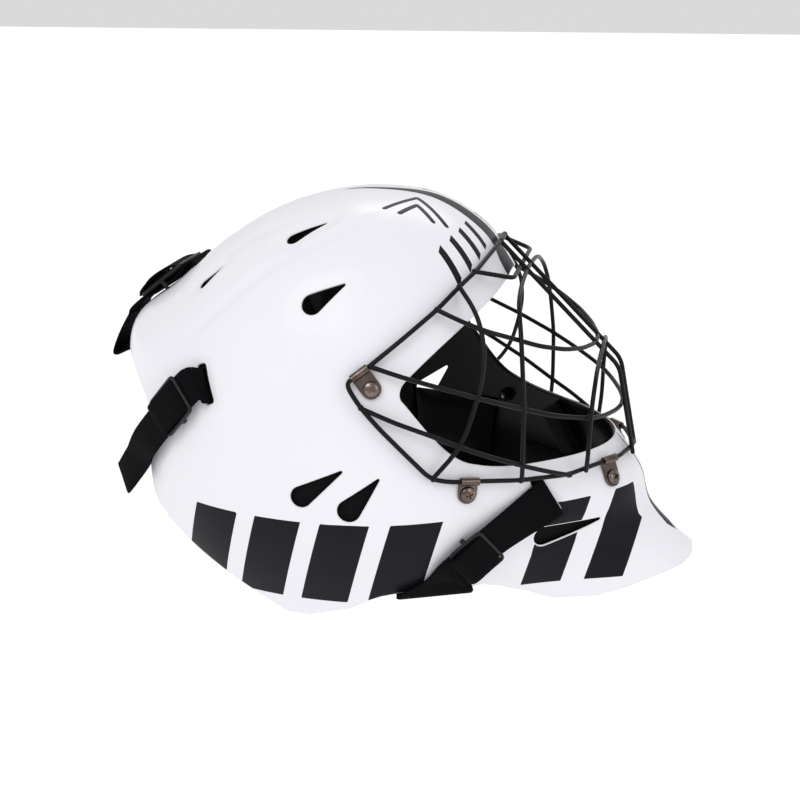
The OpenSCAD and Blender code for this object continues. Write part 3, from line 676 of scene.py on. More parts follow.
def gloss(name, light, dark, rough, coat=0.6, specular=0.5):
    """a moulded, lacquered surface with a trace of waviness and handling marks"""
    mat, tree, shader = material(name, light, rough, coat=coat, specular=specular)
    tree.links.new(ramp(tree, noise(tree, 9, 4), [(0.3, dark), (0.7, light)]), shader.inputs["Base Color"])
    tree.links.new(spread_between(tree, noise(tree, 60, 6, 0.7), rough * 0.8, rough * 1.3),
                   shader.inputs["Roughness"])
    bump_by(tree, shader, noise(tree, 420, 3), 0.05, 0.0003)
    return mat


def grainy(name, base, light, rough, scale, strength=0.35, specular=0.3):
    """moulded plastic or foam with a fine grain and paler rubbed spots"""
    mat, tree, shader = material(name, base, rough, specular=specular)
    tree.links.new(ramp(tree, noise(tree, scale / 14, 4), [(0.35, base), (0.75, light)]),
                   shader.inputs["Base Color"])
    tree.links.new(spread_between(tree, noise(tree, scale / 5, 5), rough * 0.85, rough * 1.15),
                   shader.inputs["Roughness"])
    bump_by(tree, shader, noise(tree, scale, 5), strength, 0.0002)
    return mat


def fabric(name, base, light, scale):
    """foam lining faced with a fine knitted cloth"""
    mat, tree, shader = material(name, base, 0.9, sheen=0.05, specular=0.1)
    weave = noise(tree, scale, 2, 0.4, (1, 1, 2.2))
    tree.links.new(ramp(tree, weave, [(0.35, base), (0.7, light)]), shader.inputs["Base Color"])
    bump_by(tree, shader, weave, 0.6, 0.0004)
    return mat


def woven(name, base, light):
    """webbing: uneven ribs across the strap and threads along it, from the strap's own coordinates in mm"""
    mat, tree, shader = material(name, base, 0.8, specular=0.06)
    place = add(tree, "ShaderNodeUVMap", uv_map="strap")
    apart = add(tree, "ShaderNodeSeparateXYZ")
    tree.links.new(place.outputs["UV"], apart.inputs["Vector"])

    def joint(operation, first, second, third=None):
        node = add(tree, "ShaderNodeMath", operation=operation)
        for slot, value in zip(node.inputs, (first, second, third)):
            if value is None:
                continue
            if isinstance(value, (int, float)):
                slot.default_value = value
            else:
                tree.links.new(value, slot)
        return node.outputs[0]

    def uneven(scale, stretch):
        fit = add(tree, "ShaderNodeMapping", Scale=stretch)
        tree.links.new(place.outputs["UV"], fit.inputs["Vector"])
        node = add(tree, "ShaderNodeTexNoise", Scale=scale, Detail=2.0, Roughness=0.6)
        tree.links.new(fit.outputs["Vector"], node.inputs["Vector"])
        return node.outputs["Fac"]

    shift = joint("MULTIPLY_ADD", uneven(0.5, (0.5, 0.9, 1)), 5.0, -2.5)
    ribs = joint("SINE", joint("MULTIPLY_ADD", apart.outputs["Y"], 2 * math.pi / 1.3, shift), 0.0)
    threads = joint("SINE", joint("MULTIPLY", apart.outputs["X"], 2 * math.pi / 0.7), 0.0)
    height = joint("MULTIPLY_ADD", threads, 0.1, joint("MULTIPLY", ribs, 0.3))
    height = joint("ADD", height, uneven(1.6, (0.7, 1.4, 1)))
    tree.links.new(ramp(tree, height, [(0.25, base), (0.9, light)]), shader.inputs["Base Color"])
    tree.links.new(spread_between(tree, uneven(3.0, (1, 1, 1)), 0.65, 0.9), shader.inputs["Roughness"])
    bump_by(tree, shader, height, 0.9, 0.0005)
    return mat


def metal(name, base, dark, rough, scale=160):
    """plated metal with slightly cloudy tarnish and fine scratches"""
    mat, tree, shader = material(name, base, rough, metallic=1.0)
    tree.links.new(ramp(tree, noise(tree, scale, 5), [(0.3, dark), (0.7, base)]), shader.inputs["Base Color"])
    tree.links.new(spread_between(tree, noise(tree, scale * 3, 6, 0.7), rough * 0.6, rough * 1.7),
                   shader.inputs["Roughness"])
    bump_by(tree, shader, noise(tree, scale * 4, 4), 0.15, 0.0001)
    return mat


WHITE = gloss("shell_white", (0.85, 0.845, 0.895), (0.835, 0.832, 0.885), 0.24, 0.04, 0.15)
BLACK_PRINT = gloss("shell_print", (0.007, 0.007, 0.010), (0.010, 0.010, 0.014), 0.35, 0.0, 0.12)
INSIDE = gloss("shell_inside", (0.002, 0.002, 0.002), (0.003, 0.003, 0.003), 0.22, 0.0, 0.09)
CUT = gloss("shell_cut_edge", (0.8, 0.8, 0.82), (0.76, 0.76, 0.78), 0.3, 0.2)
WIRE = grainy("wire_coat", (0.004, 0.004, 0.005), (0.008, 0.008, 0.009), 0.34, 700, 0.2, 0.16)
BRONZE = metal("clip_bronze", (0.19, 0.14, 0.125), (0.09, 0.07, 0.06), 0.17)
NICKEL = metal("screw_nickel", (0.24, 0.185, 0.165), (0.11, 0.09, 0.08), 0.18)
# the tarnish is random; the near-black base paints the shade inside the helmet where the nuts and keepers sit
SHADE_DARK_STEEL = metal("nut_steel", (0.02, 0.02, 0.02), (0.012, 0.012, 0.012), 0.45)
STRAP = woven("strap_weave", (0.0015, 0.0015, 0.002), (0.006, 0.006, 0.008))
SLIDER = grainy("slider_plastic", (0.008, 0.008, 0.010), (0.014, 0.014, 0.016), 0.3, 600, 0.25, 0.2)
MOULDED = grainy("inner_plastic", (0.005, 0.005, 0.006), (0.009, 0.009, 0.01), 0.4, 450, 0.3, 0.15)
LINING = fabric("lining_cloth", (0.002, 0.002, 0.003), (0.006, 0.006, 0.007), 900)


# the shell
shell = make_shell([WHITE, BLACK_PRINT, INSIDE, CUT])
stands_for(shell, "shell")


# the cage
WIRE_R, STAND_OFF, NOSE = 1.3, 2.9, 9.5


def clip_frame(c):
    """where a clip's screw is, with the wire's way, the strip's way and out, on the right side"""
    a, s, lean, reach = c
    n = out(np.array(a), np.array(s))
    ahead = unit(np.cross([0, 0, 1], n))
    upward = np.cross(n, ahead)
    tilt = upward * math.cos(math.radians(lean)) + ahead * math.sin(math.radians(lean))
    return on(a, s), np.cross(tilt, n), tilt, n


def held(c, d):
    o, way, tilt, n = clip_frame(c)
    return o + n * STAND_OFF + tilt * c[3] + way * d


def rim_half():
    t, j, c = CLIPS["temple"], CLIPS["jaw"], CLIPS["chin"]
    return ([[60.5, -12, 201], [59, -24, 199.5], [53, -52.5, 192.5], [46, -68.5, 186.5], [36.5, -85, 177],
             [20, -102.5, 163.5]] + [held(t, d) for d in (6, 2, -3, -9.3)]
            + [[1.5, -118.5, 130.5], [12, -118.6, 119], [25, -116.6, 105.5], [38, -111.4, 90.5]]
            + [held(j, d) for d in (-12, -3, 3, 12)] + [[83, -84.5, 83.5], [107.7, -66, 82]]
            + [held(c, d) for d in (-9, -3, 3, 9)])


SIDE_WIRES = [
    [[46, -69, 186.5], [55, -77, 177], [60, -83, 168], [62.8, -88.5, 156.5], [62.7, -94, 143],
     [60.5, -98.5, 131.5], [56, -103.5, 115], [50, -107.5, 103.5], [39, -111, 90.5]],
    [[2, -118.5, 130], [20, -116, 122], [40, -111, 114], [51, -107, 108.5], [64, -101, 102.5],
     [84, -87.5, 93], [98, -77.5, 87], [109, -67, 82]]]
ARCS = [
    [[36.5, -85, 177], [50, -86.5, 171.5], [63, -83.5, 166], [75, -77, 161.5], [90, -67, 155],
     [103, -50.5, 149.5], [111.5, -32, 146], [116.5, -12, 144], [117.3, 0, 143.7]],
    [[6.5, -112, 151], [22, -110.5, 146], [38, -107, 141], [61, -98.5, 133], [83, -86.5, 125],
     [98, -76, 119], [109, -65, 115], [118.5, -53.5, 111.5], [125.5, -38, 109], [131, -20, 107.3],
     [133, -8, 106.8], [133.3, 0, 106.7]],
    [[84, -84.5, 83.3], [84.5, -87, 93], [84.5, -87, 107], [84.3, -85.5, 126], [82.5, -81, 147],
     [80.8, -75.5, 162], [79, -69, 171.5], [77.6, -61, 177], [77, -50, 181], [76.6, -36, 183.4],
     [76.3, -18, 184.4], [76, 0, 184.8]],
    [[117, -56, 81.5], [118, -60, 92], [118.3, -59.5, 103], [118.5, -57, 112], [119.2, -55, 123],
     [119.8, -50, 130], [120, -41, 134.5], [120.4, -27, 138], [120.8, -14, 140.3], [121, 0, 141]]]


def across(half):
    half = np.asarray(half, float)
    return np.vstack([half, flipped(half[::-1][1:])])


def weld(at):
    """a small bead where two wires are welded"""
    rows, sides, radius = 6, 10, 1.75
    verts = []
    for i in range(1, rows):
        t = math.pi * i / rows
        verts += [(math.sin(t) * math.cos(k * 2 * math.pi / sides),
                   math.sin(t) * math.sin(k * 2 * math.pi / sides), math.cos(t)) for k in range(sides)]
    verts += [(0, 0, 1), (0, 0, -1)]
    top, low = len(verts) - 2, len(verts) - 1
    faces = [[i * sides + k, (i + 1) * sides + k,
              (i + 1) * sides + (k + 1) % sides, i * sides + (k + 1) % sides]
             for i in range(rows - 2) for k in range(sides)]
    faces += [[top, k, (k + 1) % sides] for k in range(sides)]
    faces += [[low, (rows - 2) * sides + (k + 1) % sides, (rows - 2) * sides + k] for k in range(sides)]
    return np.asarray(at) + np.array(verts) * radius, faces


def make_cage():
    half = rim_half()
    ring = [[61, 0, 201.3]] + half + [[141.5, 0, 81]] + [flipped(p) for p in half[::-1]]
    ring = np.array([np.asarray(p, float) for p in ring])
    start = (ring[0] + ring[1]) / 2
    lines = [rounded(np.vstack([start, ring[1:], ring[0], start]), 6, 6)[:-1]]
    parts = [tube(lines[0], WIRE_R, closed=True)]
    middle = [rounded([[52, -55, 192.3], [72.5, -43.6, 187], [72.5, 43.6, 187], [52, 55, 192.3]], 5, 6)]
    middle += [rounded(across(arc), 6, 5) for arc in ARCS]
    for wires in SIDE_WIRES:
        middle += [rounded(wires, 6, 5), rounded(flipped(wires), 6, 5)]
    for side in (-1, 1):
        nose = [[60.7, side * NOSE, 201], [131, side * NOSE, 130], [141, side * NOSE, 78.5]]
        middle.append(rounded(nose, 5, 6))
    parts += [tube(line, WIRE_R) for line in middle]
    beads = []
    lines += middle
    for i in range(len(lines)):
        for j in range(i + 1, len(lines)):
            gap = np.linalg.norm(lines[i][:, None] - lines[j][None], axis=2)
            near = np.argwhere(gap < 3.4)
            while len(near):
                k = near[gap[near[:, 0], near[:, 1]].argmin()]
                at = (lines[i][k[0]] + lines[j][k[1]]) / 2
                beads.append(at)
                near = near[np.linalg.norm(lines[i][near[:, 0]] - at, axis=1) > 9]
    parts += [weld(at) for at in beads]
    verts, faces = joined(parts)
    return new_mesh("cage_wires", verts, faces, mats=[WIRE], smooth=50)


cage = make_cage()
stands_for(cage, "cage")


# clips and screws
def placed(verts, o, x, y, z):
    verts = np.asarray(verts)
    return o + verts[:, :1] * x + verts[:, 1:2] * y + verts[:, 2:] * z


def clip_strip(reach):
    """a strip bent round the wire and back under itself, with x along the wire and y towards it"""
    width, sheet, upper, under = 11.0, 1.0, 1.6, 0.6
    bend = WIRE_R + sheet / 2 + 0.03
    ends = (-5.3, -4.6, -3.6, -2, 0, 2)
    path = [(y, upper) for y in ends + (reach - 4.5, reach - 2.6)]
    path += [(reach + bend * math.cos(math.radians(t)), STAND_OFF + bend * math.sin(math.radians(t)))
             for t in range(225, -91, -15)]
    path += [(reach - 2.4, under + 0.15), (reach - 4.5, under + 0.02)] + [(y, under) for y in reversed(ends)]
    p = np.array(path, float)
    h = unit(np.vstack([p[1] - p[0], p[2:] - p[:-2], p[-1] - p[-2]]))
    side = np.stack([-h[:, 1], h[:, 0]], 1)
    verts, ring = [], []
    t = sheet / 2 - 0.02
    for q, d in zip(p, side):
        half = width / 2 if q[0] > 0 else math.sqrt(max((width / 2) ** 2 - q[0] ** 2, 1.2))
        ring = [(-half, -t * 0.5), (-half + 0.25, -t), (0, -t), (half - 0.25, -t), (half, -t * 0.5),
                (half, t * 0.5), (half - 0.25, t), (0, t), (-half + 0.25, t), (-half, t * 0.5)]
        verts += [(x, q[0] + d[0] * z, q[1] + d[1] * z) for x, z in ring]
    return np.array(verts), ring_faces(len(p), len(ring))


def revolve(profile):
    sides = 40
    verts = [(r * math.cos(k * 2 * math.pi / sides), r * math.sin(k * 2 * math.pi / sides), z)
             for r, z in profile for k in range(sides)]
    return np.array(verts), ring_faces(len(profile), sides)


def cut_by(obj, tool):
    """a boolean whose result stays in the mesh"""
    change = obj.modifiers.new("cut", "BOOLEAN")
    change.operation = "DIFFERENCE"
    change.object = tool
    change.solver = "EXACT"
    graph = bpy.context.evaluated_depsgraph_get()
    mesh = bpy.data.meshes.new_from_object(obj.evaluated_get(graph))
    obj.modifiers.clear()
    old = obj.data
    obj.data = mesh
    mesh.name = obj.name
    bpy.data.meshes.remove(old)
    bpy.data.objects.remove(tool)
    return obj


def box_verts(x0, x1, y0, y1, z0, z1, bevel=0.0, steps=2):
    """a box, its edges rounded over"""
    bm = bmesh.new()
    bmesh.ops.create_cube(bm, size=1)
    for v in bm.verts:
        v.co = ((x0 + x1) / 2 + v.co.x * (x1 - x0), (y0 + y1) / 2 + v.co.y * (y1 - y0),
                (z0 + z1) / 2 + v.co.z * (z1 - z0))
    if bevel:
        bmesh.ops.bevel(bm, geom=bm.edges[:], offset=bevel, segments=steps, profile=0.5, affect="EDGES")
    bm.verts.index_update()
    verts = np.array([v.co for v in bm.verts])
    faces = [[v.index for v in f.verts] for f in bm.faces]
    bm.free()
    return verts, faces


def make_screw(name, frame_at, side):
    """a cross-recess pan head with a threaded shank"""
    r = 4.5
    seat = 2.12
    shank = [(0.6, -7.9), (1.6, -7.6)]
    z = -7.4
    while z < seat - 1.2:
        shank += [(1.98, z), (1.7, z + 0.35)]
        z += 0.7
    profile = shank + [(1.98, seat - 0.2), (1.98, seat), (r - 0.12, seat), (r, seat + 0.12), (r, seat + 0.5)]
    profile += [(r * math.cos(math.radians(t)), seat + 0.5 + 1.95 * math.sin(math.radians(t)))
                for t in range(12, 86, 9)]
    profile.append((0.12, seat + 2.45))
    verts, faces = revolve(profile)
    body = new_mesh(name, verts / MM * MM, faces, mats=[NICKEL], smooth=40)
    recess = []
    for turn in (20, 110):
        c, d = math.cos(math.radians(turn)), math.sin(math.radians(turn))
        v, f = box_verts(-r * 0.56, r * 0.56, -0.52, 0.52, seat + 1.05, seat + 4, 0)
        v[v[:, 2] < seat + 2] *= [0.75, 0.8, 1]
        recess.append((np.stack([v[:, 0] * c - v[:, 1] * d, v[:, 0] * d + v[:, 1] * c, v[:, 2]], 1), f))
    for v, f in recess:
        body = cut_by(body, new_mesh(name + "_recess", v, f, smooth=0))
    o, x, y, n = frame_at
    m = Matrix((tuple(x) + (0,), tuple(y) + (0,), tuple(n) + (0,), (0, 0, 0, 1))).transposed()
    m.translation = Vector(o) * MM
    body.data.transform(m)
    if side > 0:
        body.data.transform(Matrix.Diagonal((1, -1, 1, 1)))
        body.data.flip_normals()
    return body


def merge(name, pieces):
    """one object from several with the same material"""
    bm = bmesh.new()
    mats = pieces[0].data.materials[:]
    for piece in pieces:
        bm.from_mesh(piece.data)
        bpy.data.objects.remove(piece)
    mesh = bpy.data.meshes.new(name)
    bm.to_mesh(mesh)
    bm.free()
    for m in mats:
        mesh.materials.append(m)
    obj = bpy.data.objects.new(name, mesh)
    bpy.context.scene.collection.objects.link(obj)
    return obj


heads = []
for label, c in CLIPS.items():
    o, way, tilt, n = clip_frame(c)
    verts, faces = clip_strip(c[3])
    verts = placed(verts, o, way, tilt, n)
    for side, word in ((-1, "right"), (1, "left")):
        strip = new_mesh(label + "_clip_" + word + "_strip", *one_side(verts, faces, side), mats=[BRONZE],
                         smooth=32)
        stands_for(strip, label + "_clip_" + word)
        heads.append(make_screw(label + "_screw_" + word, (o, way, tilt, n), side))
screws = merge("pan_head_screws", heads)
stands_for(screws, "clip_screws")


# the harness, with its places taken from the shell's surface
THICK, SIDE_WEB, CHIN_WEB, TOP_WEB = 1.6, 20.0, 25.0, 36.0
LOOP_DEPTH, LIFT = WALL + 2 + 3, 3.9


def slot_frame(slot):
    """where a slot is, which way the webbing leaves it and which way it faces"""
    a, s, spin = slot[:3]
    n = out(np.array(a), np.array(s))
    level = unit([-n[1], n[0], 0])
    across_slot = np.cross(level, n) * math.cos(math.radians(spin)) + level * math.sin(math.radians(spin))
    return on(a, s), np.cross(across_slot, n), n


def at(a, s, d):
    return off(np.array(float(a)), np.array(float(s)), d)


REAR_AT, REAR_OUT = at(-134, 4.49, LIFT), out(np.array(-134.0), np.array(4.49))
REAR_WAY = unit(at(-137.8, 4.74, LIFT) - at(-130.2, 4.24, LIFT))
CHIN_AT, CHIN_OUT = at(-50.8, 6.72, LIFT), out(np.array(-50.8), np.array(6.72))
CHIN_WAY = unit(at(-54.4, 6.94, LIFT) - at(-47.2, 6.5, LIFT))
TOP_AT, TOP_WAY = np.array([-140.5, 0, 170.6]), unit([-39, 0, -30.8])
PLATE_R, PLATE_THICK, PLATE_HALF = 131.0, 2.5, math.asin(41 / 131)
PLATE_END = np.array([AXIS - (PLATE_R + PLATE_THICK + 1.6) * math.cos(PLATE_HALF - math.radians(1.5)), -41.5,
                      74])
CUP_BAR = np.array([30, -43, 42.0])
TOP_LONG, REAR_LONG, CHIN_LONG = 33.0, 29.0, 23.0
REAR_REACH, CHIN_REACH = REAR_LONG / 2 + 4.3, CHIN_LONG / 2 + 4.3


def headings(p):
    return unit(np.vstack([p[1] - p[0], p[2:] - p[:-2], p[-1] - p[-2]]))


def edges(line, faces, width):
    """the two edges of a strap along a line that faces ways"""
    p = np.asarray(line, float)
    side = unit(np.cross(unit(faces), headings(p))) * width / 2
    return p - side, p + side


def strap_mesh(name, low, high):
    """webbing between its two edges, ribbed across, with soft and slightly toothed edges"""
    a, b = smooth_line(low, 14), smooth_line(high, 14)
    middle = (a + b) / 2
    d = np.concatenate([[0], np.cumsum(np.linalg.norm(np.diff(middle, axis=0), axis=1))])
    count = int(d[-1] / 0.65)
    far = np.linspace(0, d[-1], count + 1)
    a, b = (np.stack([np.interp(far, d, q[:, k]) for k in range(3)], 1) for q in (a, b))
    middle, wide = (a + b) / 2, b - a
    face = unit(np.cross(wide, headings(middle)))
    width = np.linalg.norm(wide, axis=1, keepdims=True)
    wide = wide / width
    t = THICK / 2
    top = [(-1, 0, 0.35), (-1, 0.35, 0.8), (-1, 1.1, 1), (-0.5, 0, 1), (0, 0, 1), (0.5, 0, 1), (1, -1.1, 1),
           (1, -0.35, 0.8), (1, 0, 0.35)]
    section = top + [(part, inward, -high_by) for part, inward, high_by in reversed(top)]
    rng = np.random.default_rng(len(name) + count)
    tooth = (np.arange(count + 1) % 2 * 2 - 1) * 0.09 + rng.uniform(-0.07, 0.07, count + 1)
    verts, uv = [], []
    for i in range(count + 1):
        half = width[i] / 2 + tooth[i]
        for part, inward, high_by in section:
            x = part * half + inward
            verts.append(middle[i] + wide[i] * x + face[i] * high_by * t)
            uv.append((float(x[0]), far[i]))
    return np.array(verts), ring_faces(count + 1, len(section)), np.array(uv)


def strap(name, low, high, side):
    verts, faces, uv = strap_mesh(name, low, high)
    return new_mesh(name, *one_side(verts, faces, side), mats=[STRAP], uv=uv, smooth=60)


def from_slot(slot, place, way, reach, face, width):
    """the edges of the webbing from inside a slot, out of it and straight under its slider"""
    s, d, n = slot_frame(slot)
    start = min(reach, np.linalg.norm(place - s) - 5)
    line = [s - n * (LOOP_DEPTH - 2.8), s - n * 1.5, s + n * 1.9 + d * 0.5, place - way * start,
            place + way * reach]
    faces = [-d, -d, unit(n - d), face, face]
    return edges(line, faces, width)


def hem_at(a):
    turn = abs(a)
    return at(a, np.interp(turn, HEM[:, 0], HEM[:, 1]), -WALL / 2)


def wrap(a):
    """webbing round the shell's lower edge, from outside to inside"""
    n = out(np.array(float(a)), np.array(float(np.interp(abs(a), HEM[:, 0], HEM[:, 1]))))
    o = unit([n[0], n[1], 0])
    r = WALL / 2 + THICK / 2 + 0.6
    turns = [math.radians(k) for k in (0, 45, 90, 135, 180)]
    return [hem_at(a) + o * math.cos(k) * (r + 2.2 if k < 1.5 else r) - np.array([0, 0, math.sin(k) * 3])
            for k in turns]


def rear_edges():
    low, high = from_slot(REAR_SLOT, REAR_AT, REAR_WAY, REAR_REACH, REAR_OUT, SIDE_WEB)
    up_by = np.array([0, 0, SIDE_WEB / 2])
    low = np.vstack([low, [[-140, -79, 96.5], [-149.5, -68.5, 81.5], [-159.5, -57, 68.5], [-154, -50, 79]],
                     [PLATE_END + up_by]])
    high = np.vstack([high, [[-125, -89, 86], [-133.5, -77.5, 73.5], [-151, -65, 52.5], [-150, -52, 60]],
                      [PLATE_END - up_by]])
    return low, high


def chin_edges():
    low, high = from_slot(CHIN_SLOT, CHIN_AT, CHIN_WAY, CHIN_REACH, CHIN_OUT, CHIN_WEB)
    end, half = CUP_BAR + [0, -3, -1.9], np.array([CHIN_WEB / 2, 0, 0])
    low = np.vstack([low, [at(-64.5, 7.2, 2.4)], wrap(-72), [[20, -74, 26]], [end - half]])
    high = np.vstack([high, [at(-50.5, 7.4, 2.6)], wrap(-49), [[45, -68, 26]], [end + half]])
    return low, high


TOP_LINE = [[-108, 176], [-113, 177.8], [-117.6, 180.2], [-121.6, 182.4], [-127, 181.4], [-158.7, 156.2],
            [-163.7, 148.8], [-170, 137.4], [-174.3, 126.6], [-172.8, 124.4], [-163.6, 128.3], [-157, 127.5],
            [-150.2, 121.5]]


def top_edges():
    line = np.array([[x, 0, z] for x, z in TOP_LINE])
    h = headings(line)
    return edges(line, np.stack([h[:, 2], h[:, 1], -h[:, 0]], 1), TOP_WEB)


for side, word in ((-1, "right"), (1, "left")):
    piece = strap("rear_strap_webbing_" + word, *rear_edges(), side)
    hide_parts("rear_strap_" + word)
    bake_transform(piece)
    piece = strap("chin_strap_webbing_" + word, *chin_edges(), side)
    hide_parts("chin_strap_" + word)
    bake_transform(piece)
top_strap = strap("top_strap_webbing", *top_edges(), -1)
stands_for(top_strap, "top_strap")


def slider(name, width, length, rise, deep, o, x, n, side, body, node):
    """a slide adjuster: a frame over the webbing, a bar under it, and the webbing that bulges through"""
    play, bar, frame_r = 0.3, 1.6, 1.1
    gap, inside = THICK / 2 + play, width / 2 + play
    x1, y1, z1 = length / 2 - frame_r, inside + 0.85, gap + bar - frame_r
    ring = [[x1, 0, z1], [x1, y1, z1], [-x1, y1, z1], [-x1, -y1, z1], [x1, -y1, z1], [x1, 0, z1]]
    parts = [tube(rounded(ring, 2.6, 6)[:-1], frame_r, 12, closed=True)]
    low = -gap - bar - deep
    for s in (-1, 1):
        parts.append(box_verts(-1.3, 1.3, s * y1 - 0.8, s * y1 + 0.8, low, z1, 0.6, 3))
    parts.append(box_verts(-1.5, 1.5, -inside - 1, inside + 1, -gap - bar, -gap, 0.6, 3))
    verts, faces = joined(parts)
    z = unit(n - x * (x @ n))
    y = np.cross(z, x)
    verts = placed(verts, o, x, y, z)
    obj = new_mesh(name + "_frame", *one_side(verts, faces, side), mats=[SLIDER], smooth=50)
    reach, over = length / 2 - 2.6, gap + THICK / 2
    arch = [(-reach, 0.15), (-0.6 * reach, 0.15 + 0.7 * rise), (-0.1 * reach, 0.3 + rise),
            (0.4 * reach, 0.5 + rise), (0.8 * reach, bar + 0.3 + 0.35 * rise), (length / 2 - 0.6, bar + 0.35),
            (length / 2 + 1.2, 0.1)]
    lines = [[(a, over + h) for a, h in arch],
             [(-reach, over + 0.1), (0, over + 0.1 + 0.35 * rise), (reach, over + 0.1)]]
    if deep:
        lines.append([(-reach - 2, 0), (-0.5 * reach, -THICK - 0.4), (0.5 * reach, -THICK - 0.6),
                      (reach + 2, 0)])
    pieces = [(obj, "slider_plastic")]
    for k, line in enumerate(lines):
        middle = [o + x * a + z * h for a, h in line]
        low, high = [q - y * (inside - 0.4) for q in middle], [q + y * (inside - 0.4) for q in middle]
        pieces.append((strap(name + "_webbing_" + str(k + 1), low, high, side), "webbing"))
    for piece, of in pieces:
        stands_for(piece, node, body)


slider("top_slide_adjuster", TOP_WEB, TOP_LONG, 3.8, 1.5, TOP_AT, TOP_WAY, unit([-30.8, 0, 39]), -1,
       "top_buckle", "top_slider")
for side, word in ((-1, "right"), (1, "left")):
    slider("rear_slide_adjuster_" + word, SIDE_WEB, REAR_LONG, 1.8, 0, REAR_AT, REAR_WAY, REAR_OUT, side,
           "rear_buckle_" + word, "rear_slider_" + word)
    slider("chin_slide_adjuster_" + word, CHIN_WEB, CHIN_LONG, 1.8, 0, CHIN_AT, CHIN_WAY, CHIN_OUT, side,
           "chin_buckle_" + word, "chin_slider_" + word)


# the lining
PAD = 12.0


def pad_mesh(a0, a1, s0, s1, channels, nu, nv, thick=PAD):
    """a foam pad on the inside of the shell, crowned, drawn in at its edges and sewn in channels"""
    gap = WALL + 0.8
    u, v = np.meshgrid(np.linspace(0, 1, nu + 1), np.linspace(0, 1, nv + 1), indexing="ij")
    x, y = 2 * u - 1, 2 * v - 1
    dip = np.zeros_like(u)
    if channels:
        near = np.abs(u * (channels + 1) - np.round(u * (channels + 1)))
        dip = np.clip(1 - near * 5, 0, None) ** 2 * ((u > 0.1) & (u < 0.9))
    rise = gap + 3 + (thick - 3) * (1 - np.abs(x) ** 5) * (1 - np.abs(y) ** 5) * (1 - 0.3 * dip)
    rise -= 0.9 * np.clip(1 - np.minimum(1 - np.abs(x), 1 - np.abs(y)) * 12, 0, 1) ** 2
    pull = (1 - 0.6 * np.abs(x * y)) * 0.035
    qx, qy = 0.5 + x * (0.5 - pull * (1 - y * y)), 0.5 + y * (0.5 - pull * (1 - x * x))
    a, s = a0 + (a1 - a0) * qx, s0 + (s1 - s0) * qy
    back, face = off(a, s, -gap), off(a, s, -rise)
    return grid_solid(back, face, nu, nv)


def lining(name, verts, faces, node, body="helmet"):
    obj = new_mesh(name, verts, faces, mats=[LINING], smooth=60)
    stands_for(obj, node, body)


lining("forehead_cushion", *pad_mesh(-40, 40, 2.05, 2.95, 3, 64, 24), "forehead_pad")
lining("rear_cushion", *pad_mesh(148, 212, 1.5, 2.3, 2, 48, 24), "rear_pad")
for label, spec in (("side", (-120, -89, 2.95, 6.15, 1, 36, 48)), ("jaw", (-88, -58, 5.65, 7.0, 0, 36, 28)),
                    ("chin", (-44, -13, 6.45, 7.6, 0, 36, 28, PAD - 4))):
    verts, faces = pad_mesh(*spec)
    lining(label + "_cushion_right", verts, faces, label + "_pad_right")
    lining(label + "_cushion_left", *one_side(verts, faces, 1), label + "_pad_left")


def shade_backing(a0, a1, s0, s1, steps=24):
    """thin dark cloth on the inside of the shell; used behind the right-hand vents only, it paints the shade
    seen through them
    """
    a, s = np.meshgrid(np.linspace(a0, a1, steps + 1), np.linspace(s0, s1, steps + 1), indexing="ij")
    return grid_solid(off(a, s, -WALL - 0.15), off(a, s, -WALL - 0.65), steps, steps)


# painted shade: a dark cloth behind the right-hand vents only, so that these vents read black
vent_shade_cloth = new_mesh("vent_cloth_right", *shade_backing(-101, -76, 4.7, 6.2), mats=[LINING], smooth=60)
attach(vent_shade_cloth, "helmet")


def anchor_cover(name, slot):
    """the soft covers sewn over the pins behind a slot"""
    s, d, n = slot_frame(slot)
    half = slot[3] / 2 + 4.2
    verts, faces = box_verts(-half, half, -6.5, 6.5, -LOOP_DEPTH - 3.2, -WALL - 0.25, 3, 5)
    verts = placed(verts, s, np.cross(n, d), d, n)
    for side, word in ((-1, "right"), (1, "left")):
        obj = new_mesh(name + "_" + word, *one_side(verts, faces, side), mats=[LINING], smooth=60)
        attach(obj, "helmet")


anchor_cover("side_anchor_cover", REAR_SLOT)
anchor_cover("chin_anchor_cover", CHIN_SLOT)


def turned(profile, start, sweep, steps, centre):
    """a closed profile of radius and height swept round an upright axis, rounded off at its ends"""
    verts = []
    count = len(profile)
    mid = np.array(profile, float).mean(0)
    for i in range(steps + 1):
        t = i / steps
        edge = min(t, 1 - t) * steps
        close = 1 - 0.55 * max(0, 1 - edge / 3) ** 2
        angle = math.radians(start + sweep * t)
        for r, z in profile:
            rr, zz = mid[0] + (r - mid[0]) * close, mid[1] + (z - mid[1]) * (0.5 + 0.5 * close)
            verts.append((centre[0] + rr * math.cos(angle), centre[1] + rr * math.sin(angle), zz))
    return np.array(verts), ring_faces(steps + 1, count)


CROWN = [[0.3, 224.4], [20, 222.9], [36, 219.2], [43, 216.4], [44.6, 214.5], [44.2, 212.6], [42, 211.4],
         [36, 211], [33, 212], [30, 211], [24, 211.6], [18, 212.4], [15, 213.6], [12, 212.8], [6, 212.9],
         [0.3, 213]]
count = len(CROWN)
crown_verts, crown_faces = [], []
for i in range(72):
    t = i * 2 * math.pi / 72
    dent = 1 - 0.02 * math.cos(6 * t)
    crown_verts += [(AXIS + r * dent * math.cos(t), r * dent * math.sin(t), z) for r, z in CROWN]
    crown_faces += [[i * count + k, i * count + k + 1, (i + 1) % 72 * count + k + 1, (i + 1) % 72 * count + k]
                    for k in range(count - 1)]
crown_faces += [[i * count for i in range(72)], [i * count + count - 1 for i in reversed(range(72))]]
lining("crown_cushion", crown_verts, crown_faces, "crown_pad")

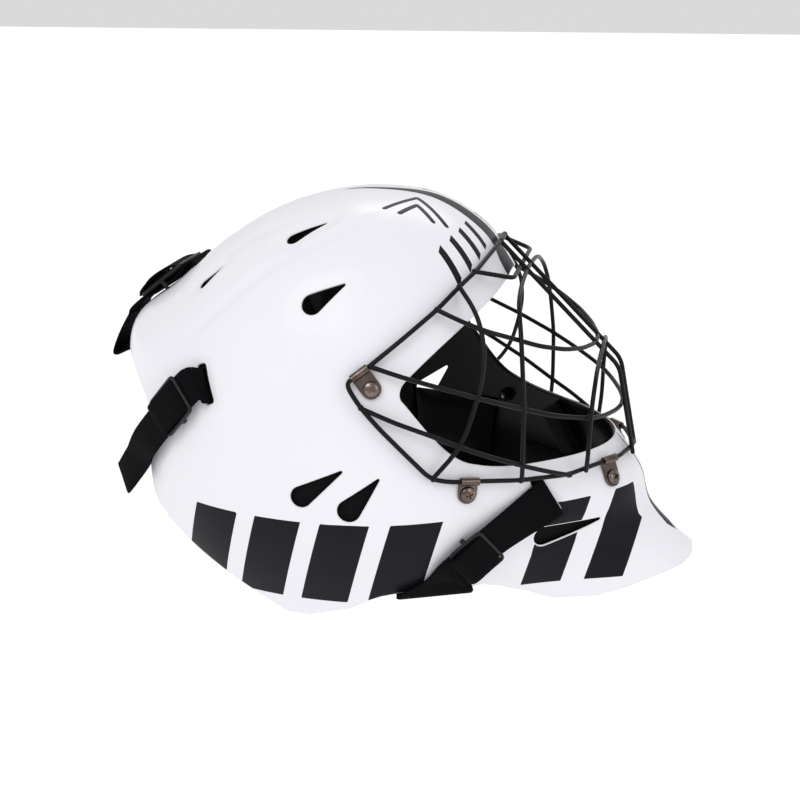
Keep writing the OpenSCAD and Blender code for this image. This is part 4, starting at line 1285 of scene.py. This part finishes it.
back = [[130.7, 47], [130.7, 78], [130.7, 109], [128.5, 109.4], [126, 107], [123.5, 102], [122, 96],
        [122.2, 90], [122, 84], [123.4, 78], [122, 72], [122.2, 66], [122, 58], [123.5, 53], [126, 49],
        [128.5, 46.6]]
half_turn = math.degrees(PLATE_HALF)
lining("back_cushion", *turned(back, 180 - half_turn, 2 * half_turn, 40, (AXIS, 0)), "back_pad", "back_panel")


def bowl(outer, inner, trim, centre, steps=40):
    """part of a round bowl with flat rims, open at the top and at the back"""
    rows = 20
    low, high = -math.pi / 2, math.asin((-18 - trim) / outer)
    verts, faces = [], []
    for shell_r, sign in ((outer, 1), (inner, -1)):
        for i in range(rows + 1):
            f = low + 0.02 + (high - low - 0.02) * i / rows
            for k in range(steps + 1):
                g = -math.pi / 2 + math.pi * k / steps
                x, y, z = (shell_r * math.cos(f) * math.cos(g), shell_r * math.cos(f) * math.sin(g),
                           shell_r * math.sin(f))
                verts.append((centre[0] + max(x, 0) + trim, centre[1] + y, centre[2] + z))
    n = (rows + 1) * (steps + 1)
    k = lambda i, j: i * (steps + 1) + j
    faces = [[k(i, j), k(i, j + 1), k(i + 1, j + 1), k(i + 1, j)]
             for i in range(rows) for j in range(steps)]
    faces += [[n + q for q in reversed(f)] for f in faces]
    rim = ([k(0, j) for j in range(steps + 1)] + [k(i, steps) for i in range(1, rows + 1)]
           + [k(rows, j) for j in range(steps - 1, -1, -1)] + [k(i, 0) for i in range(rows - 1, 0, -1)])
    faces += [[p, n + p, n + q, q] for p, q in zip(rim, rim[1:] + rim[:1])]
    return np.array(verts), faces


lining("chin_cushion", *bowl(39.1, 34, 2, (14, 0, 66)), "chin_cup_pad", "chin_rest")

for name, mat in (("back_plate", MOULDED), ("chin_cup", MOULDED), ("clip_nuts", SHADE_DARK_STEEL),
                  ("strap_keepers", SHADE_DARK_STEEL)):
    mesh = nodes[name].data
    if not mesh.materials:
        mesh.materials.append(mat)
    for slot_of in nodes[name].material_slots:
        slot_of.material = mat


# the stage and the lights
def light_table(name, colour, rough):
    """a white table lit from within, which leaves hardly any shadow on it"""
    mat, _, shader = material(name, colour, rough, specular=0.0)
    shader.inputs["Emission Color"].default_value = (1, 1, 1, 1)
    shader.inputs["Emission Strength"].default_value = 1.03
    return mat


FAR = 6000
floor = new_mesh("floor", [[-FAR, -FAR, 0], [FAR, -FAR, 0], [FAR, FAR, 0], [-FAR, FAR, 0]], [[0, 1, 2, 3]],
                 mats=[light_table("table_top", (0.03, 0.03, 0.03), 0.95)], smooth=0)

world = bpy.data.worlds.new("studio")
bpy.context.scene.world = world
world.use_nodes = True
world.node_tree.nodes["Background"].inputs["Color"].default_value = (1, 1, 1, 1)
world.node_tree.nodes["Background"].inputs["Strength"].default_value = 0.7
bpy.context.scene.view_settings.view_transform = "Standard"


def area_light(name, place, target, width, height, watts):
    light = bpy.data.lights.new(name, "AREA")
    light.shape = "RECTANGLE"
    light.size, light.size_y, light.energy = width, height, watts
    obj = bpy.data.objects.new(name, light)
    bpy.context.scene.collection.objects.link(obj)
    obj.location = place
    obj.rotation_euler = (Vector(target) - Vector(place)).to_track_quat("-Z", "Y").to_euler()


area_light("key", (-0.5, -1.4, 1.5), (0, 0, 0.1), 1.1, 0.9, 10)
area_light("fill", (1.5, -0.9, 0.8), (0, 0, 0.1), 0.6, 0.9, 3)
area_light("back", (0.1, 1.5, 1.6), (0, 0, 0.1), 1.2, 0.6, 6)
